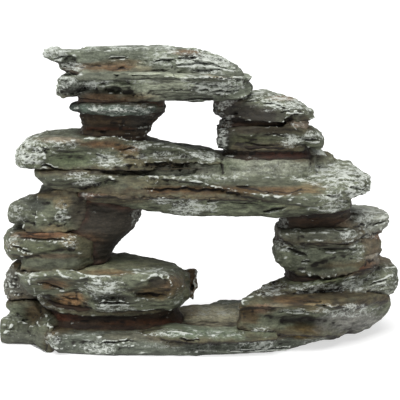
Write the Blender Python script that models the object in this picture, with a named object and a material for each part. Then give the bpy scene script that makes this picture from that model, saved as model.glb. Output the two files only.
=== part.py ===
"""Cave ornament cast in filled polyester resin and sculpted as a stack of split slate.

Flat stones lie on each other in two arches: a wide cave at the bottom and, above the shelf that roofs it,
a small window. Each stone is a casting of its own. The joints between them are packed with resin putty, set
back from the stones and hollowed at its sides. The finished stack is bonded, and nothing in it moves.

Frame: +X to the right, the front towards -Y, +Z up. The origin is on the flat underside of the base.
"""

import math
import random
from typing import NamedTuple

import bmesh
import bpy

MM = 0.001
JOINT_GAP = 0.3 * MM  # clear space between two bedded pieces
BED = 2 * MM  # how deep a stone is let into the one below it, before it is cut to fit
BITE = 8 * MM  # how far putty reaches into the height of a stone, before it is cut to fit
# How far a stone's front and back stray from their drawn outline, in the drawing's millimetres.
ROUGHNESS = 1.1


class Size(NamedTuple):
    """A piece's length along X, depth along Y and height along Z."""

    length: float
    depth: float
    height: float


# The clear openings.
CAVE_WIDTH = 86 * MM
CAVE_HEIGHT = 74 * MM
CAVE_MIDDLE = 6 * MM  # its X
WINDOW_WIDTH = 36 * MM
WINDOW_HEIGHT = 38.5 * MM
WINDOW_MIDDLE = -6 * MM  # its X

# The foot of the ornament.
BASE = Size(204 * MM, 108 * MM, 12 * MM)
BASE_LEFT_STONE = Size(36 * MM, 62 * MM, 25 * MM)
BASE_LEAF = Size(84 * MM, 46 * MM, 7 * MM)

# The left pillar of the cave.
LEFT_JOINT = Size(96 * MM, 60 * MM, 15 * MM)
LEFT_BOULDER = Size(104 * MM, 80 * MM, 25 * MM)
LEFT_REAR_BLOCK = Size(30 * MM, 40 * MM, 15 * MM)
LEFT_REAR_STONE = Size(26 * MM, 46 * MM, 32 * MM)
LEFT_MIDDLE_STONE = Size(58 * MM, 76 * MM, 26 * MM)
LEFT_TOP_STONE = Size(50 * MM, 70 * MM, 28 * MM)
LEFT_CORE_LENGTH = 58 * MM
LEFT_CORE_DEPTH = 60 * MM

# The right pillar of the cave.
RIGHT_LOWER_SLAB = Size(100 * MM, 88 * MM, 29 * MM)
RIGHT_UPPER_SLAB = Size(105 * MM, 93 * MM, 23 * MM)
RIGHT_JOINT = Size(62 * MM, 58 * MM, 6 * MM)
RIGHT_LOWER_STONE = Size(70 * MM, 74 * MM, 26 * MM)
RIGHT_MIDDLE_SLAB = Size(54 * MM, 62 * MM, 9 * MM)
RIGHT_TOP_STONE = Size(50 * MM, 66 * MM, 18 * MM)
RIGHT_CORE_LENGTH = 50 * MM
RIGHT_CORE_DEPTH = 50 * MM

# The shelf that roofs the cave: three leaves of slate, and a flake behind.
SHELF_LOWER_LEAF = Size(172 * MM, 82 * MM, 17 * MM)
SHELF_MIDDLE_LEAF = Size(214 * MM, 92 * MM, 20 * MM)
SHELF_UPPER_LEAF = Size(131 * MM, 80 * MM, 19 * MM)
SHELF_REAR_FLAKE = Size(70 * MM, 46 * MM, 12 * MM)

# The two pillars of the window.
NECK_PLATE = Size(59 * MM, 63 * MM, 7 * MM)
LEFT_NECK_LENGTH = 57 * MM
LEFT_NECK_DEPTH = 48 * MM
FOOT_JOINT = Size(62 * MM, 56 * MM, 10.5 * MM)
FOOT_SLAB = Size(68 * MM, 69 * MM, WINDOW_HEIGHT - 26 * MM)  # takes up the window's height
RIGHT_NECK = Size(50 * MM, 46 * MM, 6 * MM)
PEBBLE = Size(13 * MM, 24 * MM, 7 * MM)
WEDGE_STONE = Size(61 * MM, 67 * MM, 15 * MM)
CAP_SEAT_LENGTH = 19 * MM
CAP_SEAT_DEPTH = 44 * MM

# The cap: two leaves, and a chip between them.
CAP_LOWER_LEAF = Size(121 * MM, 80 * MM, 19 * MM)
CAP_UPPER_LEAF = Size(128 * MM, 74 * MM, 18 * MM)
CAP_CHIP = Size(26 * MM, 40 * MM, 9 * MM)

# The faces that the pieces are placed from.
CAVE_LEFT = CAVE_MIDDLE - CAVE_WIDTH / 2
CAVE_RIGHT = CAVE_MIDDLE + CAVE_WIDTH / 2
WINDOW_LEFT = WINDOW_MIDDLE - WINDOW_WIDTH / 2
WINDOW_RIGHT = WINDOW_MIDDLE + WINDOW_WIDTH / 2
BASE_TOP = BASE.height
SHELF_BED = BASE_TOP + CAVE_HEIGHT
SHELF_MIDDLE_BED = SHELF_BED + SHELF_LOWER_LEAF.height - 2 * BED
SHELF_TOP = SHELF_MIDDLE_BED + SHELF_MIDDLE_LEAF.height
CAP_BED = SHELF_TOP + WINDOW_HEIGHT
BOULDER_BED = BASE_TOP + LEFT_JOINT.height
BOULDER_TOP = BOULDER_BED + LEFT_BOULDER.height
LEFT_TOP_BED = BOULDER_TOP - BED + LEFT_MIDDLE_STONE.height
RIGHT_SLAB_BED = BASE_TOP - 7 * MM
RIGHT_UPPER_SLAB_BED = RIGHT_SLAB_BED + RIGHT_LOWER_SLAB.height - 7 * MM
RIGHT_STONE_BED = RIGHT_UPPER_SLAB_BED + RIGHT_UPPER_SLAB.height - 6 * MM
RIGHT_SLAB_TOP = RIGHT_STONE_BED + RIGHT_LOWER_STONE.height - BED
FOOT_BED = SHELF_TOP + FOOT_JOINT.height
WEDGE_BED = FOOT_BED + FOOT_SLAB.height + RIGHT_NECK.height - BED
PLATE_BED = SHELF_TOP + WINDOW_HEIGHT - NECK_PLATE.height

# Cross-sections of a stone, drawn round from the lower front edge. Each point is (from -1 at the front to 1
# at the back, from 0 at the bottom to 1 at the top).
LEAF = [
    (-0.8, 0), (-0.92, 0.28), (-1, 0.58), (-0.93, 0.8), (-0.74, 1), (0.76, 1), (0.93, 0.76),
    (1, 0.45), (0.84, 0),
]  # fmt: skip
SLAB = [
    (-0.84, 0), (-0.95, 0.2), (-1, 0.46), (-0.97, 0.8), (-0.82, 1), (0.8, 1), (0.95, 0.82),
    (1, 0.42), (0.94, 0.16), (0.8, 0),
]  # fmt: skip
SLOPED = [
    (-0.86, 0), (-1, 0.3), (-0.97, 0.56), (-0.66, 0.84), (-0.3, 1), (0.8, 1), (1, 0.58),
    (0.96, 0.2), (0.84, 0),
]  # fmt: skip
OVERHANG = [
    (-0.62, 0), (-0.8, 0.28), (-0.92, 0.56), (-1, 0.84), (-0.92, 1), (0.84, 1), (1, 0.72),
    (0.94, 0.34), (0.74, 0),
]  # fmt: skip
ROUND_POINTS = 20  # round a level of putty
SQUARENESS = 0.7  # of a level of putty: 1 is an ellipse and 0 a rectangle


def new_collection(name):
    collection = bpy.data.collections.new(name)
    bpy.context.scene.collection.children.link(collection)
    return collection


def new_material(name, colour, roughness):
    material = bpy.data.materials.new(name)
    material.use_nodes = True
    surface = material.node_tree.nodes["Principled BSDF"]
    surface.inputs["Base Color"].default_value = (*colour, 1)
    surface.inputs["Roughness"].default_value = roughness
    surface.inputs["Metallic"].default_value = 0
    return material


def skinned(name, size, corner, rings):
    """A closed mesh through rings of points, stretched to the piece's size and set at its lowest corner."""
    low = [min(point[axis] for ring in rings for point in ring) for axis in range(3)]
    high = [max(point[axis] for ring in rings for point in ring) for axis in range(3)]
    mesh = bpy.data.meshes.new(name)
    bm = bmesh.new()
    skin = []
    for ring in rings:
        skin.append([])
        for point in ring:
            placed = [corner[a] + (point[a] - low[a]) * size[a] / (high[a] - low[a]) for a in range(3)]
            skin[-1].append(bm.verts.new(placed))
    for ring, following in zip(skin, skin[1:]):
        for i in range(len(ring)):
            j = (i + 1) % len(ring)
            bm.faces.new((ring[i], following[i], following[j], ring[j]))
    bm.faces.new(skin[0])
    bm.faces.new(reversed(skin[-1]))
    bmesh.ops.triangulate(bm, faces=bm.faces)
    bm.to_mesh(mesh)
    bm.free()
    return mesh


def stone_rings(name, sections, outline):
    """A ring for each section along X: (x, bottom, top, front, back). Edges stray, by the same random
    numbers in every build, so that no two stones share a straight line."""
    stray = random.Random(name)
    rings = []
    for x, bottom, top, front, back in sections:
        front += stray.uniform(-1, 1) * ROUGHNESS
        back += stray.uniform(-1, 1) * ROUGHNESS
        ring = []
        for across, up in outline:
            spread = 1 + stray.uniform(-0.02, 0.02)
            lift = 0 if up in (0, 1) else stray.uniform(-0.04, 0.04)
            y = (front + back) / 2 + across * spread * (back - front) / 2
            ring.append((x, y, bottom + (up + lift) * (top - bottom)))
        rings.append(ring)
    return rings


def putty_rings(levels):
    """A rounded ring for each level up Z: (z, left, right, front, back)."""
    rings = []
    for z, left, right, front, back in levels:
        ring = []
        for i in range(ROUND_POINTS):
            turn = math.tau * i / ROUND_POINTS
            across = math.copysign(abs(math.cos(turn)) ** SQUARENESS, math.cos(turn))
            along = math.copysign(abs(math.sin(turn)) ** SQUARENESS, math.sin(turn))
            x = (left + right) / 2 + across * (right - left) / 2
            y = (front + back) / 2 - along * (back - front) / 2
            ring.append((x, y, z))
        rings.append(ring)
    return rings


def add_piece(name, mesh, material):
    piece = bpy.data.objects.new(name, mesh)
    parts.objects.link(piece)
    mesh.materials.append(material)
    return piece


def cutter_of(piece):
    """The piece's uncut shape, grown by the joint gap and shared by all that bed on the piece."""
    name = piece.name + "_seat"
    if name in cutters.objects:
        return cutters.objects[name]
    grown = bpy.data.objects.new(name, piece.data.copy())
    cutters.objects.link(grown)
    bm = bmesh.new()
    bm.from_mesh(grown.data)
    bm.normal_update()
    moved = [v.co + v.normal * JOINT_GAP * v.calc_shell_factor() for v in bm.verts]
    for v, place in zip(bm.verts, moved):
        v.co = place
    bm.to_mesh(grown.data)
    bm.free()
    grown.hide_render = True
    grown.display_type = "WIRE"
    return grown


def bed(piece, *neighbours):
    """Cuts the piece to fit round its neighbours, the joint gap away from each."""
    for neighbour in neighbours:
        cut = piece.modifiers.new("bed_on_" + neighbour.name, "BOOLEAN")
        cut.operation = "DIFFERENCE"
        cut.solver = "EXACT"
        cut.object = cutter_of(neighbour)
    return piece


def stone(name, size, corner, sections, outline=LEAF, beds=()):
    mesh = skinned(name, size, corner, stone_rings(name, sections, outline))
    return bed(add_piece(name, mesh, slate), *beds)


def putty(name, size, corner, levels, beds=()):
    return bed(add_piece(name, skinned(name, size, corner, putty_rings(levels)), filler), *beds)


for existing in list(bpy.data.objects):
    bpy.data.objects.remove(existing)
parts = new_collection("cave_ornament")
cutters = new_collection("cutters")
slate = new_material("slate", (0.16, 0.19, 0.16), 0.75)
filler = new_material("putty", (0.10, 0.06, 0.04), 0.85)

# The foot: a wide flat slab, a lump at its left end and a thin leaf on its front.
base = stone(
    "base_slab", BASE, (CAVE_LEFT - 67 * MM, -58 * MM, 0),
    [
        (-104, 6, 11, -18, 26), (-97, 3, 12, -38, 38), (-91, 0, 12, -48, 44), (-50, 0, 12, -55, 50),
        (-10, 0, 11.5, -57, 46), (30, 0, 11.5, -58, 44), (60, 1, 12, -53, 48), (80, 4, 12, -38, 46),
        (100, 7, 11, -10, 32),
    ],
    SLAB,
)  # fmt: skip
base_left = stone(
    "base_left_stone", BASE_LEFT_STONE, (CAVE_LEFT - 93 * MM, -42 * MM, 3 * MM),
    [
        (-130, 11, 19, -18, 0), (-124, 7, 26, -30, 12), (-113, 4, 28, -38, 18),
        (-102, 3, 26, -42, 20), (-94, 4, 20, -38, 16),
    ],
    LEAF, [base],
)  # fmt: skip
base_leaf = stone(
    "base_leaf", BASE_LEAF, (CAVE_LEFT + 1 * MM, -56 * MM, BASE_TOP - 3 * MM),
    [
        (-36, 11, 13, -44, -36), (-20, 10, 14.5, -52, -20), (0, 9, 15, -55, -12),
        (22, 9, 16, -56, -10), (48, 9, 14, -50, -14),
    ],
    LEAF, [base],
)  # fmt: skip

# The left pillar: a boulder on a bed of putty, two stones, and the hollow core behind them.
boulder = stone(
    "left_boulder", LEFT_BOULDER, (CAVE_LEFT - 78 * MM, -54 * MM, BOULDER_BED),
    [
        (-115, 43, 50, -36, -8), (-108, 36, 51, -46, 8), (-94, 29, 51.5, -50, 20),
        (-75, 27, 52, -53, 26), (-50, 27, 51.5, -54, 25), (-30, 28, 49.5, -52, 20),
        (-18, 30, 48, -46, 12), (-11, 33, 43, -34, 2),
    ],
    OVERHANG,
)  # fmt: skip
rear_block = stone(
    "left_rear_block", LEFT_REAR_BLOCK, (CAVE_LEFT + 5 * MM, -8 * MM, BOULDER_BED),
    [(-32, 27, 42, -6, 32), (-16, 28, 42, -8, 32), (-6, 29, 41, -6, 28), (-2, 31, 40, 0, 22)],
    SLAB, [boulder],
)  # fmt: skip
rear_stone = stone(
    "left_rear_stone", LEFT_REAR_STONE, (CAVE_LEFT - 92 * MM, -12 * MM, BASE_LEFT_STONE.height - 6 * MM),
    [
        (-129, 26, 42, -2, 18), (-122, 21, 50, -10, 30), (-111, 19, 51, -12, 34),
        (-103, 22, 46, -6, 28),
    ],
    SLAB, [base_left, boulder],
)  # fmt: skip
left_joint = putty(
    "left_joint",
    Size(LEFT_JOINT.length, LEFT_JOINT.depth, LEFT_JOINT.height + 2 * BITE),
    (CAVE_LEFT - 67 * MM, -34 * MM, BASE_TOP - BITE),
    [
        (4, -104, -9, -34, 26), (12, -102, -11, -32, 25), (17, -100, -14, -29, 23),
        (23, -101, -13, -30, 24), (28, -103, -10, -33, 26), (35, -104, -8, -34, 26),
    ],
    [base, base_left, base_leaf, boulder, rear_block, rear_stone],
)  # fmt: skip
left_middle = stone(
    "left_middle_stone", LEFT_MIDDLE_STONE, (CAVE_LEFT - 91 * MM, -42 * MM, BOULDER_TOP - BED),
    [
        (-128, 61, 70, -14, 8), (-122, 54, 75, -30, 20), (-108, 52, 77, -40, 30),
        (-90, 51, 77, -42, 34), (-78, 52, 74, -38, 32), (-70, 56, 70, -28, 26),
    ],
    SLAB, [boulder, rear_stone],
)  # fmt: skip
left_top = stone(
    "left_top_stone", LEFT_TOP_STONE, (CAVE_LEFT - 87 * MM, -38 * MM, LEFT_TOP_BED),
    [
        (-124, 81, 89, -20, 2), (-117, 78, 94, -30, 14), (-106, 76, 98, -37, 22),
        (-92, 76, 103, -38, 32), (-80, 77, 104, -33, 31), (-74, 80, 100, -26, 26),
    ],
    SLAB, [left_middle],
)  # fmt: skip

# The shelf: three leaves, the lowest at the cave's roof, and a flake behind the right pillar of the window.
shelf_lower = stone(
    "shelf_lower_leaf", SHELF_LOWER_LEAF, (CAVE_LEFT - 39 * MM, -46 * MM, SHELF_BED),
    [
        (-76, 98, 102, -30, 20), (-60, 94.5, 103, -40, 30), (-38, 90, 103, -45, 34),
        (-17, 87, 103, -46, 36), (10, 86, 103, -46, 36), (50, 86.5, 103, -44, 36),
        (80, 88, 102.5, -38, 34), (96, 89, 99, -24, 26),
    ],
    SLAB, [left_top],
)  # fmt: skip
shelf_middle = stone(
    "shelf_middle_leaf", SHELF_MIDDLE_LEAF, (CAVE_LEFT - 67 * MM, -50 * MM, SHELF_MIDDLE_BED),
    [
        (-104, 112, 118, -26, 10), (-96, 106, 119, -36, 24), (-80, 102, 119, -44, 34),
        (-50, 101, 119, -48, 38), (-10, 100, 118, -49, 40), (30, 99, 118, -50, 42),
        (60, 99, 117.5, -49, 42), (85, 99, 116, -44, 40), (100, 99.5, 114, -34, 32),
        (110, 100, 108, -16, 16),
    ],
    SLOPED, [shelf_lower, left_top],
)  # fmt: skip
shelf_upper = stone(
    "shelf_upper_leaf", SHELF_UPPER_LEAF, (CAVE_LEFT - 81 * MM, -46 * MM, SHELF_TOP - BED),
    [
        (-118, 119, 127, -24, 0), (-112, 117.5, 132, -36, 14), (-98, 117, 135, -43, 27),
        (-75, 117, 136, -46, 34), (-50, 117, 134.5, -46, 34), (-37, 117, 131, -43, 32),
        (-24, 117, 127.5, -40, 30), (0, 117, 124, -34, 28), (13, 117.5, 121.5, -24, 20),
    ],
    LEAF, [shelf_middle],
)  # fmt: skip
shelf_flake = stone(
    "shelf_rear_flake", SHELF_REAR_FLAKE, (WINDOW_RIGHT + 7 * MM, 0, SHELF_TOP - 6 * MM),
    [
        (19, 114, 121, 8, 36), (45, 113, 124, 2, 44), (70, 112, 123, 0, 46), (82, 112, 118, 6, 40),
        (89, 112, 114, 14, 30),
    ],
    LEAF, [shelf_middle],
)  # fmt: skip
left_core = putty(
    "left_core",
    Size(LEFT_CORE_LENGTH, LEFT_CORE_DEPTH, SHELF_BED + 22 * MM - (BOULDER_TOP - BITE)),
    (CAVE_LEFT - 59 * MM, -26 * MM, BOULDER_TOP - BITE),
    [
        (44, -95, -62, -22, 30), (52, -95, -60, -22, 31), (60, -95, -57, -23, 32),
        (68, -95, -51, -24, 33), (75, -95, -43, -26, 34), (82, -96, -38, -26, 34),
        (90, -96, -37, -24, 34), (98, -96, -38, -20, 33), (108, -94, -46, -18, 30),
    ],
    [boulder, rear_stone, left_middle, left_top, shelf_lower, shelf_middle],
)  # fmt: skip

# The right pillar: two slabs on the base, a putty joint, and a stack of smaller stones under the shelf.
right_lower_slab = stone(
    "right_lower_slab", RIGHT_LOWER_SLAB, (CAVE_RIGHT - 23 * MM, -50 * MM, RIGHT_SLAB_BED),
    [
        (26, 15, 30, -44, -32), (34, 12, 33, -48, -8), (50, 10, 34, -50, 14), (75, 8, 34, -50, 32),
        (94, 7, 34, -38, 38), (110, 9, 32, -20, 38), (120, 13, 29, -8, 30), (126, 18, 24, 0, 16),
    ],
    OVERHANG, [base, base_leaf],
)  # fmt: skip
right_upper_slab = stone(
    "right_upper_slab", RIGHT_UPPER_SLAB, (CAVE_RIGHT - 22 * MM, -49 * MM, RIGHT_UPPER_SLAB_BED),
    [
        (27, 32, 35.5, -46, -38), (45, 29, 37.5, -48, -6), (60, 28, 39.5, -49, 14),
        (80, 28, 43.5, -48, 32), (98, 28, 47, -42, 42), (112, 28, 50.5, -30, 44),
        (122, 27, 50, -14, 40), (129, 29, 46, -2, 28), (132, 33, 41, 4, 18),
    ],
    LEAF, [right_lower_slab],
)  # fmt: skip
right_lower = stone(
    "right_lower_stone", RIGHT_LOWER_STONE, (CAVE_RIGHT, -34 * MM, RIGHT_STONE_BED),
    [
        (49, 57, 66, -16, 8), (56, 50, 70, -26, 20), (66, 47, 71, -32, 28), (82, 48, 72, -34, 36),
        (98, 51, 72, -28, 38), (110, 55, 70, -14, 36), (119, 60, 66, 0, 22),
    ],
    SLAB, [right_upper_slab],
)  # fmt: skip
right_middle = stone(
    "right_middle_slab", RIGHT_MIDDLE_SLAB, (CAVE_RIGHT + 2 * MM, -34 * MM, RIGHT_SLAB_TOP),
    [
        (51, 71, 76, -18, 12), (60, 70, 78, -30, 24), (78, 69.5, 79, -34, 28),
        (94, 70, 78.5, -30, 28), (105, 72, 76, -14, 18),
    ],
    LEAF, [right_lower],
)  # fmt: skip
right_top = stone(
    "right_top_stone", RIGHT_TOP_STONE, (CAVE_RIGHT + 27 * MM, -20 * MM, RIGHT_SLAB_TOP - 2 * BED),
    [
        (76, 72, 80, -12, 26), (88, 69, 83, -20, 40), (104, 67, 84.5, -18, 46),
        (116, 68, 84, -6, 42), (122, 71, 83, 4, 34), (126, 76, 82, 10, 22),
    ],
    SLAB, [right_lower, right_middle],
)  # fmt: skip
right_joint = putty(
    "right_joint",
    Size(RIGHT_JOINT.length, RIGHT_JOINT.depth, RIGHT_JOINT.height + 2 * BITE),
    (CAVE_RIGHT + 7 * MM, -22 * MM, RIGHT_STONE_BED - BITE),
    [
        (37, 58, 116, -20, 34), (44, 57, 117, -21, 35), (48, 58, 116, -20, 34),
        (52, 57, 118, -22, 36), (59, 56, 118, -22, 36),
    ],
    [right_lower_slab, right_upper_slab, right_lower],
)  # fmt: skip
right_core = putty(
    "right_core",
    Size(RIGHT_CORE_LENGTH, RIGHT_CORE_DEPTH, SHELF_BED + BITE - RIGHT_SLAB_TOP + BITE / 2),
    (CAVE_RIGHT, -22 * MM, RIGHT_SLAB_TOP - BITE / 2),
    [
        (66, 50, 99, -22, 28), (72, 50, 99, -22, 28), (78, 52, 97, -20, 27), (84, 51, 98, -21, 27),
        (94, 49, 99, -22, 28),
    ],
    [right_lower, right_middle, right_top, shelf_lower, shelf_middle],
)  # fmt: skip

# The cap, of two leaves, and a chip caught between them at the left.
cap_lower = stone(
    "cap_lower_leaf", CAP_LOWER_LEAF, (WINDOW_LEFT - 67 * MM, -43 * MM, CAP_BED),
    [
        (-91, 163, 172, -20, 14), (-87, 162, 174, -34, 26), (-72, 161, 176, -40, 33),
        (-45, 160, 177, -43, 37), (-20, 159, 177, -42, 37), (0, 158, 176, -38, 34),
        (15, 159, 175, -32, 30), (26, 163, 174.5, -24, 24), (30, 167, 173.5, -12, 12),
    ],
    OVERHANG,
)  # fmt: skip
cap_upper = stone(
    "cap_upper_leaf", CAP_UPPER_LEAF,
    (WINDOW_LEFT - 77 * MM, -40 * MM, CAP_BED + CAP_LOWER_LEAF.height - BED),
    [
        (-101, 187, 190, -14, 0), (-94, 185, 192, -24, 10), (-84, 180, 192.5, -32, 22),
        (-72, 176, 193, -37, 30), (-45, 175, 193, -40, 34), (-20, 175, 190.5, -40, 34),
        (0, 175, 187.5, -37, 32), (14, 175, 183, -31, 27), (22, 175.5, 180.5, -22, 18),
        (27, 177, 179, -10, 8),
    ],
    LEAF, [cap_lower],
)  # fmt: skip
cap_chip = stone(
    "cap_chip", CAP_CHIP, (WINDOW_LEFT - 62 * MM, -28 * MM, CAP_BED + CAP_LOWER_LEAF.height - BED),
    [
        (-86, 178, 184, -18, 0), (-80, 176, 184, -26, 8), (-68, 175, 182, -28, 12),
        (-60, 176, 180, -20, 8),
    ],
    LEAF, [cap_lower, cap_upper],
)  # fmt: skip

# The left pillar of the window: a thin plate between two necks of putty.
plate = stone(
    "neck_plate", NECK_PLATE, (WINDOW_LEFT - 60 * MM, -33 * MM, PLATE_BED),
    [
        (-84, 151.5, 154, -12, 6), (-74, 150.5, 156.5, -28, 22), (-55, 150, 157, -33, 30),
        (-38, 150, 157, -32, 30), (-30, 150.5, 156, -24, 24), (-25, 151, 154.5, -10, 14),
    ],
)  # fmt: skip
left_lower_neck = putty(
    "left_lower_neck",
    Size(LEFT_NECK_LENGTH, LEFT_NECK_DEPTH, PLATE_BED + NECK_PLATE.height / 2 - SHELF_TOP - BED + BITE),
    (WINDOW_LEFT - 55 * MM, -21 * MM, SHELF_TOP + BED - BITE),
    [
        (113, -79, -34, -21, 27), (126, -79, -35, -20, 26), (133, -78, -35, -19, 25),
        (139, -77, -32, -18, 24), (145, -77, -28, -18, 24), (150, -78, -23, -19, 25),
        (154, -79, -22, -20, 26),
    ],
    [shelf_middle, shelf_upper, plate],
)  # fmt: skip
left_upper_neck = putty(
    "left_upper_neck",
    Size(LEFT_NECK_LENGTH, LEFT_NECK_DEPTH, CAP_BED + BITE - PLATE_BED - NECK_PLATE.height / 2 - JOINT_GAP),
    (WINDOW_LEFT - 55 * MM, -25 * MM, PLATE_BED + NECK_PLATE.height / 2 + JOINT_GAP),
    [
        (153, -79, -22, -25, 23), (157, -78, -23, -24, 22), (160, -78, -22, -24, 22),
        (167, -79, -21, -25, 23),
    ],
    [plate, cap_lower],
)  # fmt: skip

# The right pillar of the window: a foot slab, a pebble and a wedge-shaped stone, with putty between them.
foot_slab = stone(
    "foot_slab", FOOT_SLAB, (WINDOW_RIGHT, -33 * MM, FOOT_BED),
    [
        (12, 131, 139, -16, 18), (20, 130, 141, -26, 30), (40, 130, 142, -32, 36),
        (58, 129.5, 141.5, -33, 36), (70, 129.5, 139.5, -26, 28), (76, 130, 137.5, -18, 18),
        (80, 131, 135, -10, 8),
    ],
)  # fmt: skip
foot_joint = putty(
    "foot_joint",
    Size(FOOT_JOINT.length, FOOT_JOINT.depth, FOOT_JOINT.height + BITE + BED),
    (WINDOW_RIGHT, -24 * MM, SHELF_TOP - BITE),
    [
        (111, 12, 74, -24, 32), (119, 12, 74, -24, 32), (122, 14, 72, -22, 30),
        (126, 16, 70, -20, 28), (130, 15, 70, -21, 29), (133, 14, 71, -22, 30),
    ],
    [shelf_middle, shelf_upper, shelf_flake, foot_slab],
)  # fmt: skip
pebble = stone(
    "pebble", PEBBLE, (WINDOW_RIGHT + 44 * MM, -24 * MM, FOOT_BED + FOOT_SLAB.height - BED),
    [
        (55, 141, 146, -18, 0), (61, 140, 147, -22, 2), (65, 140.5, 146, -20, 0),
        (68, 142, 144, -14, -6),
    ],
    LEAF, [foot_slab],
)  # fmt: skip
wedge_stone = stone(
    "wedge_stone", WEDGE_STONE, (WINDOW_RIGHT + 1 * MM, -31 * MM, WEDGE_BED),
    [
        (13, 150, 157, -14, 20), (26, 148.5, 160, -26, 32), (40, 147.5, 161, -31, 36),
        (52, 147, 159, -31, 36), (62, 146, 156, -27, 28), (70, 146.5, 152.5, -18, 16),
        (74, 147.5, 150, -8, 6),
    ],
    SLOPED, [pebble],
)  # fmt: skip
right_neck = putty(
    "right_neck",
    Size(RIGHT_NECK.length, RIGHT_NECK.depth, RIGHT_NECK.height + BITE),
    (WINDOW_RIGHT, -18 * MM, FOOT_BED + FOOT_SLAB.height - BITE / 2),
    [
        (139, 12, 61, -18, 28), (143, 13, 60, -17, 27), (147, 15, 58, -15, 25),
        (151, 13, 60, -17, 27), (156, 12, 61, -18, 28),
    ],
    [foot_slab, pebble, wedge_stone, cap_lower],
)  # fmt: skip
cap_seat = putty(
    "cap_seat",
    Size(CAP_SEAT_LENGTH, CAP_SEAT_DEPTH, CAP_BED + BITE - WEDGE_BED - BED),
    (WINDOW_RIGHT - 3 * MM, -18 * MM, WEDGE_BED + BED),
    [(148, 10, 28, -17, 25), (154, 9, 28, -18, 26), (160, 10, 27, -17, 25), (166, 9, 28, -18, 26)],
    [right_neck, wedge_stone, cap_lower],
)  # fmt: skip
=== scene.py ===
import math

import bpy
import numpy as np
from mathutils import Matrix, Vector


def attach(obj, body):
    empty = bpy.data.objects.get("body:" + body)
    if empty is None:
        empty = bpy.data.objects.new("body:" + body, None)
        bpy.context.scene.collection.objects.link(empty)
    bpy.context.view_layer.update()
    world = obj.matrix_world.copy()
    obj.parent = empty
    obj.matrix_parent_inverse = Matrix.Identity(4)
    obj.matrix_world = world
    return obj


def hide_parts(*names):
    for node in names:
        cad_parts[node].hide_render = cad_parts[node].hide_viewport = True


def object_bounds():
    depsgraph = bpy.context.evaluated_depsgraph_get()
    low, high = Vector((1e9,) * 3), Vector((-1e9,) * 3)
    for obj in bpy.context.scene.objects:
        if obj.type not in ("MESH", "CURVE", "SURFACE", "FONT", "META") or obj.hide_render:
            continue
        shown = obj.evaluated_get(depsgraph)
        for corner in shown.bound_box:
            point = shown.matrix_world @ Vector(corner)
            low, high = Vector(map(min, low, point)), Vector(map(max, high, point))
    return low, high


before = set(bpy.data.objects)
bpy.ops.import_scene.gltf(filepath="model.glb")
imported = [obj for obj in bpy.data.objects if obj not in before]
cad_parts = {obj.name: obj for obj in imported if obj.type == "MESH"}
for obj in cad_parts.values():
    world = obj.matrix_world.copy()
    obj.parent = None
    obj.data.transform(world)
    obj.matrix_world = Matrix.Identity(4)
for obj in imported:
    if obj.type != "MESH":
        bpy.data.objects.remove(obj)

# The whole ornament is a stack of split slate cast in resin, bonded with putty and painted by hand: a
# grey-green body, brown washed into the joints and pale paint dragged over the edges. It has to stay
# inside this box, in millimetres.
MM = 0.001
cad_box = [list(corner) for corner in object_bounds()]
box = [np.array(corner) / MM for corner in cad_box]

# The base slab, a resin casting with a flat underside. It is broken all round like split slate and painted
# dark grey-green with pale chipped edges. The other stones are bonded on to it, so each is grown into its
# neighbours.


def drift(points, size, seed):
    """Smooth random values from about -1 to 1, a size apart, for points in millimetres."""
    rng = np.random.default_rng(seed)
    order = rng.permutation(256)
    slopes = rng.normal(size=(256, 3))
    slopes /= np.linalg.norm(slopes, axis=1)[:, None]
    place = points / size + 31.7
    cell = np.floor(place).astype(np.int64)
    part = place - cell
    ease = part * part * part * (part * (part * 6 - 15) + 10)
    total = np.zeros(len(points))
    for corner in np.ndindex(2, 2, 2):
        key = order[(cell[:, 0] + corner[0]) & 255]
        key = order[(key + cell[:, 1] + corner[1]) & 255]
        key = order[(key + cell[:, 2] + corner[2]) & 255]
        weight = np.ones(len(points))
        for axis in range(3):
            weight *= ease[:, axis] if corner[axis] else 1 - ease[:, axis]
        total += weight * ((part - corner) * slopes[key]).sum(1)
    return total * 1.7


def ramp(value, low, high):
    """0 below low, 1 above high, and smooth between them."""
    t = np.clip((value - low) / (high - low), 0, 1)
    return t * t * (3 - 2 * t)


def blocks(plan, key, seed):
    """For points in plan, a random value from -1 to 1 for the broken block each lies in."""
    cell = np.floor(plan).astype(np.int64)
    nearest = np.full(len(plan), 9.0)
    value = np.zeros(len(plan))
    for corner in np.ndindex(3, 3):
        near = cell + corner - 1
        mixed = (near[:, 0] * 73856093) ^ (near[:, 1] * 19349663) ^ (key * 83492791) ^ (seed * 265443)
        mixed = ((mixed ^ (mixed >> 13)) * 1274126177) & 0x7FFFFFFF
        mixed = ((mixed ^ (mixed >> 11)) * 668265263) & 0x7FFFFFFF
        centre = near + np.column_stack([(mixed & 1023) / 1023, ((mixed >> 10) & 1023) / 1023])
        away = ((plan - centre) ** 2).sum(1)
        closer = away < nearest
        nearest = np.where(closer, away, nearest)
        value = np.where(closer, ((mixed >> 20) & 1023) / 511.5 - 1, value)
    return value


def scattered(node):
    """Points scattered over a node's faces, about one to 1.5 square millimetres."""
    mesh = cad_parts[node].data
    mesh.calc_loop_triangles()
    corners = np.array([triangle.vertices[:] for triangle in mesh.loop_triangles])
    places = np.array([vertex.co[:] for vertex in mesh.vertices]) / MM
    a, b, c = (places[corners[:, k]] for k in range(3))
    area = 0.5 * np.linalg.norm(np.cross(b - a, c - a), axis=1)
    rng = np.random.default_rng(7)
    which = np.repeat(np.arange(len(area)), np.ceil(area / 1.5).astype(int))
    u, v = rng.random((2, len(which)))
    flip = u + v > 1
    u[flip], v[flip] = 1 - u[flip], 1 - v[flip]
    return a[which] + (b - a)[which] * u[:, None] + (c - a)[which] * v[:, None]


faces_of = {node: scattered(node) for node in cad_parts}
FAR = 12.0  # joints further off than this don't matter to a stone


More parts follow.
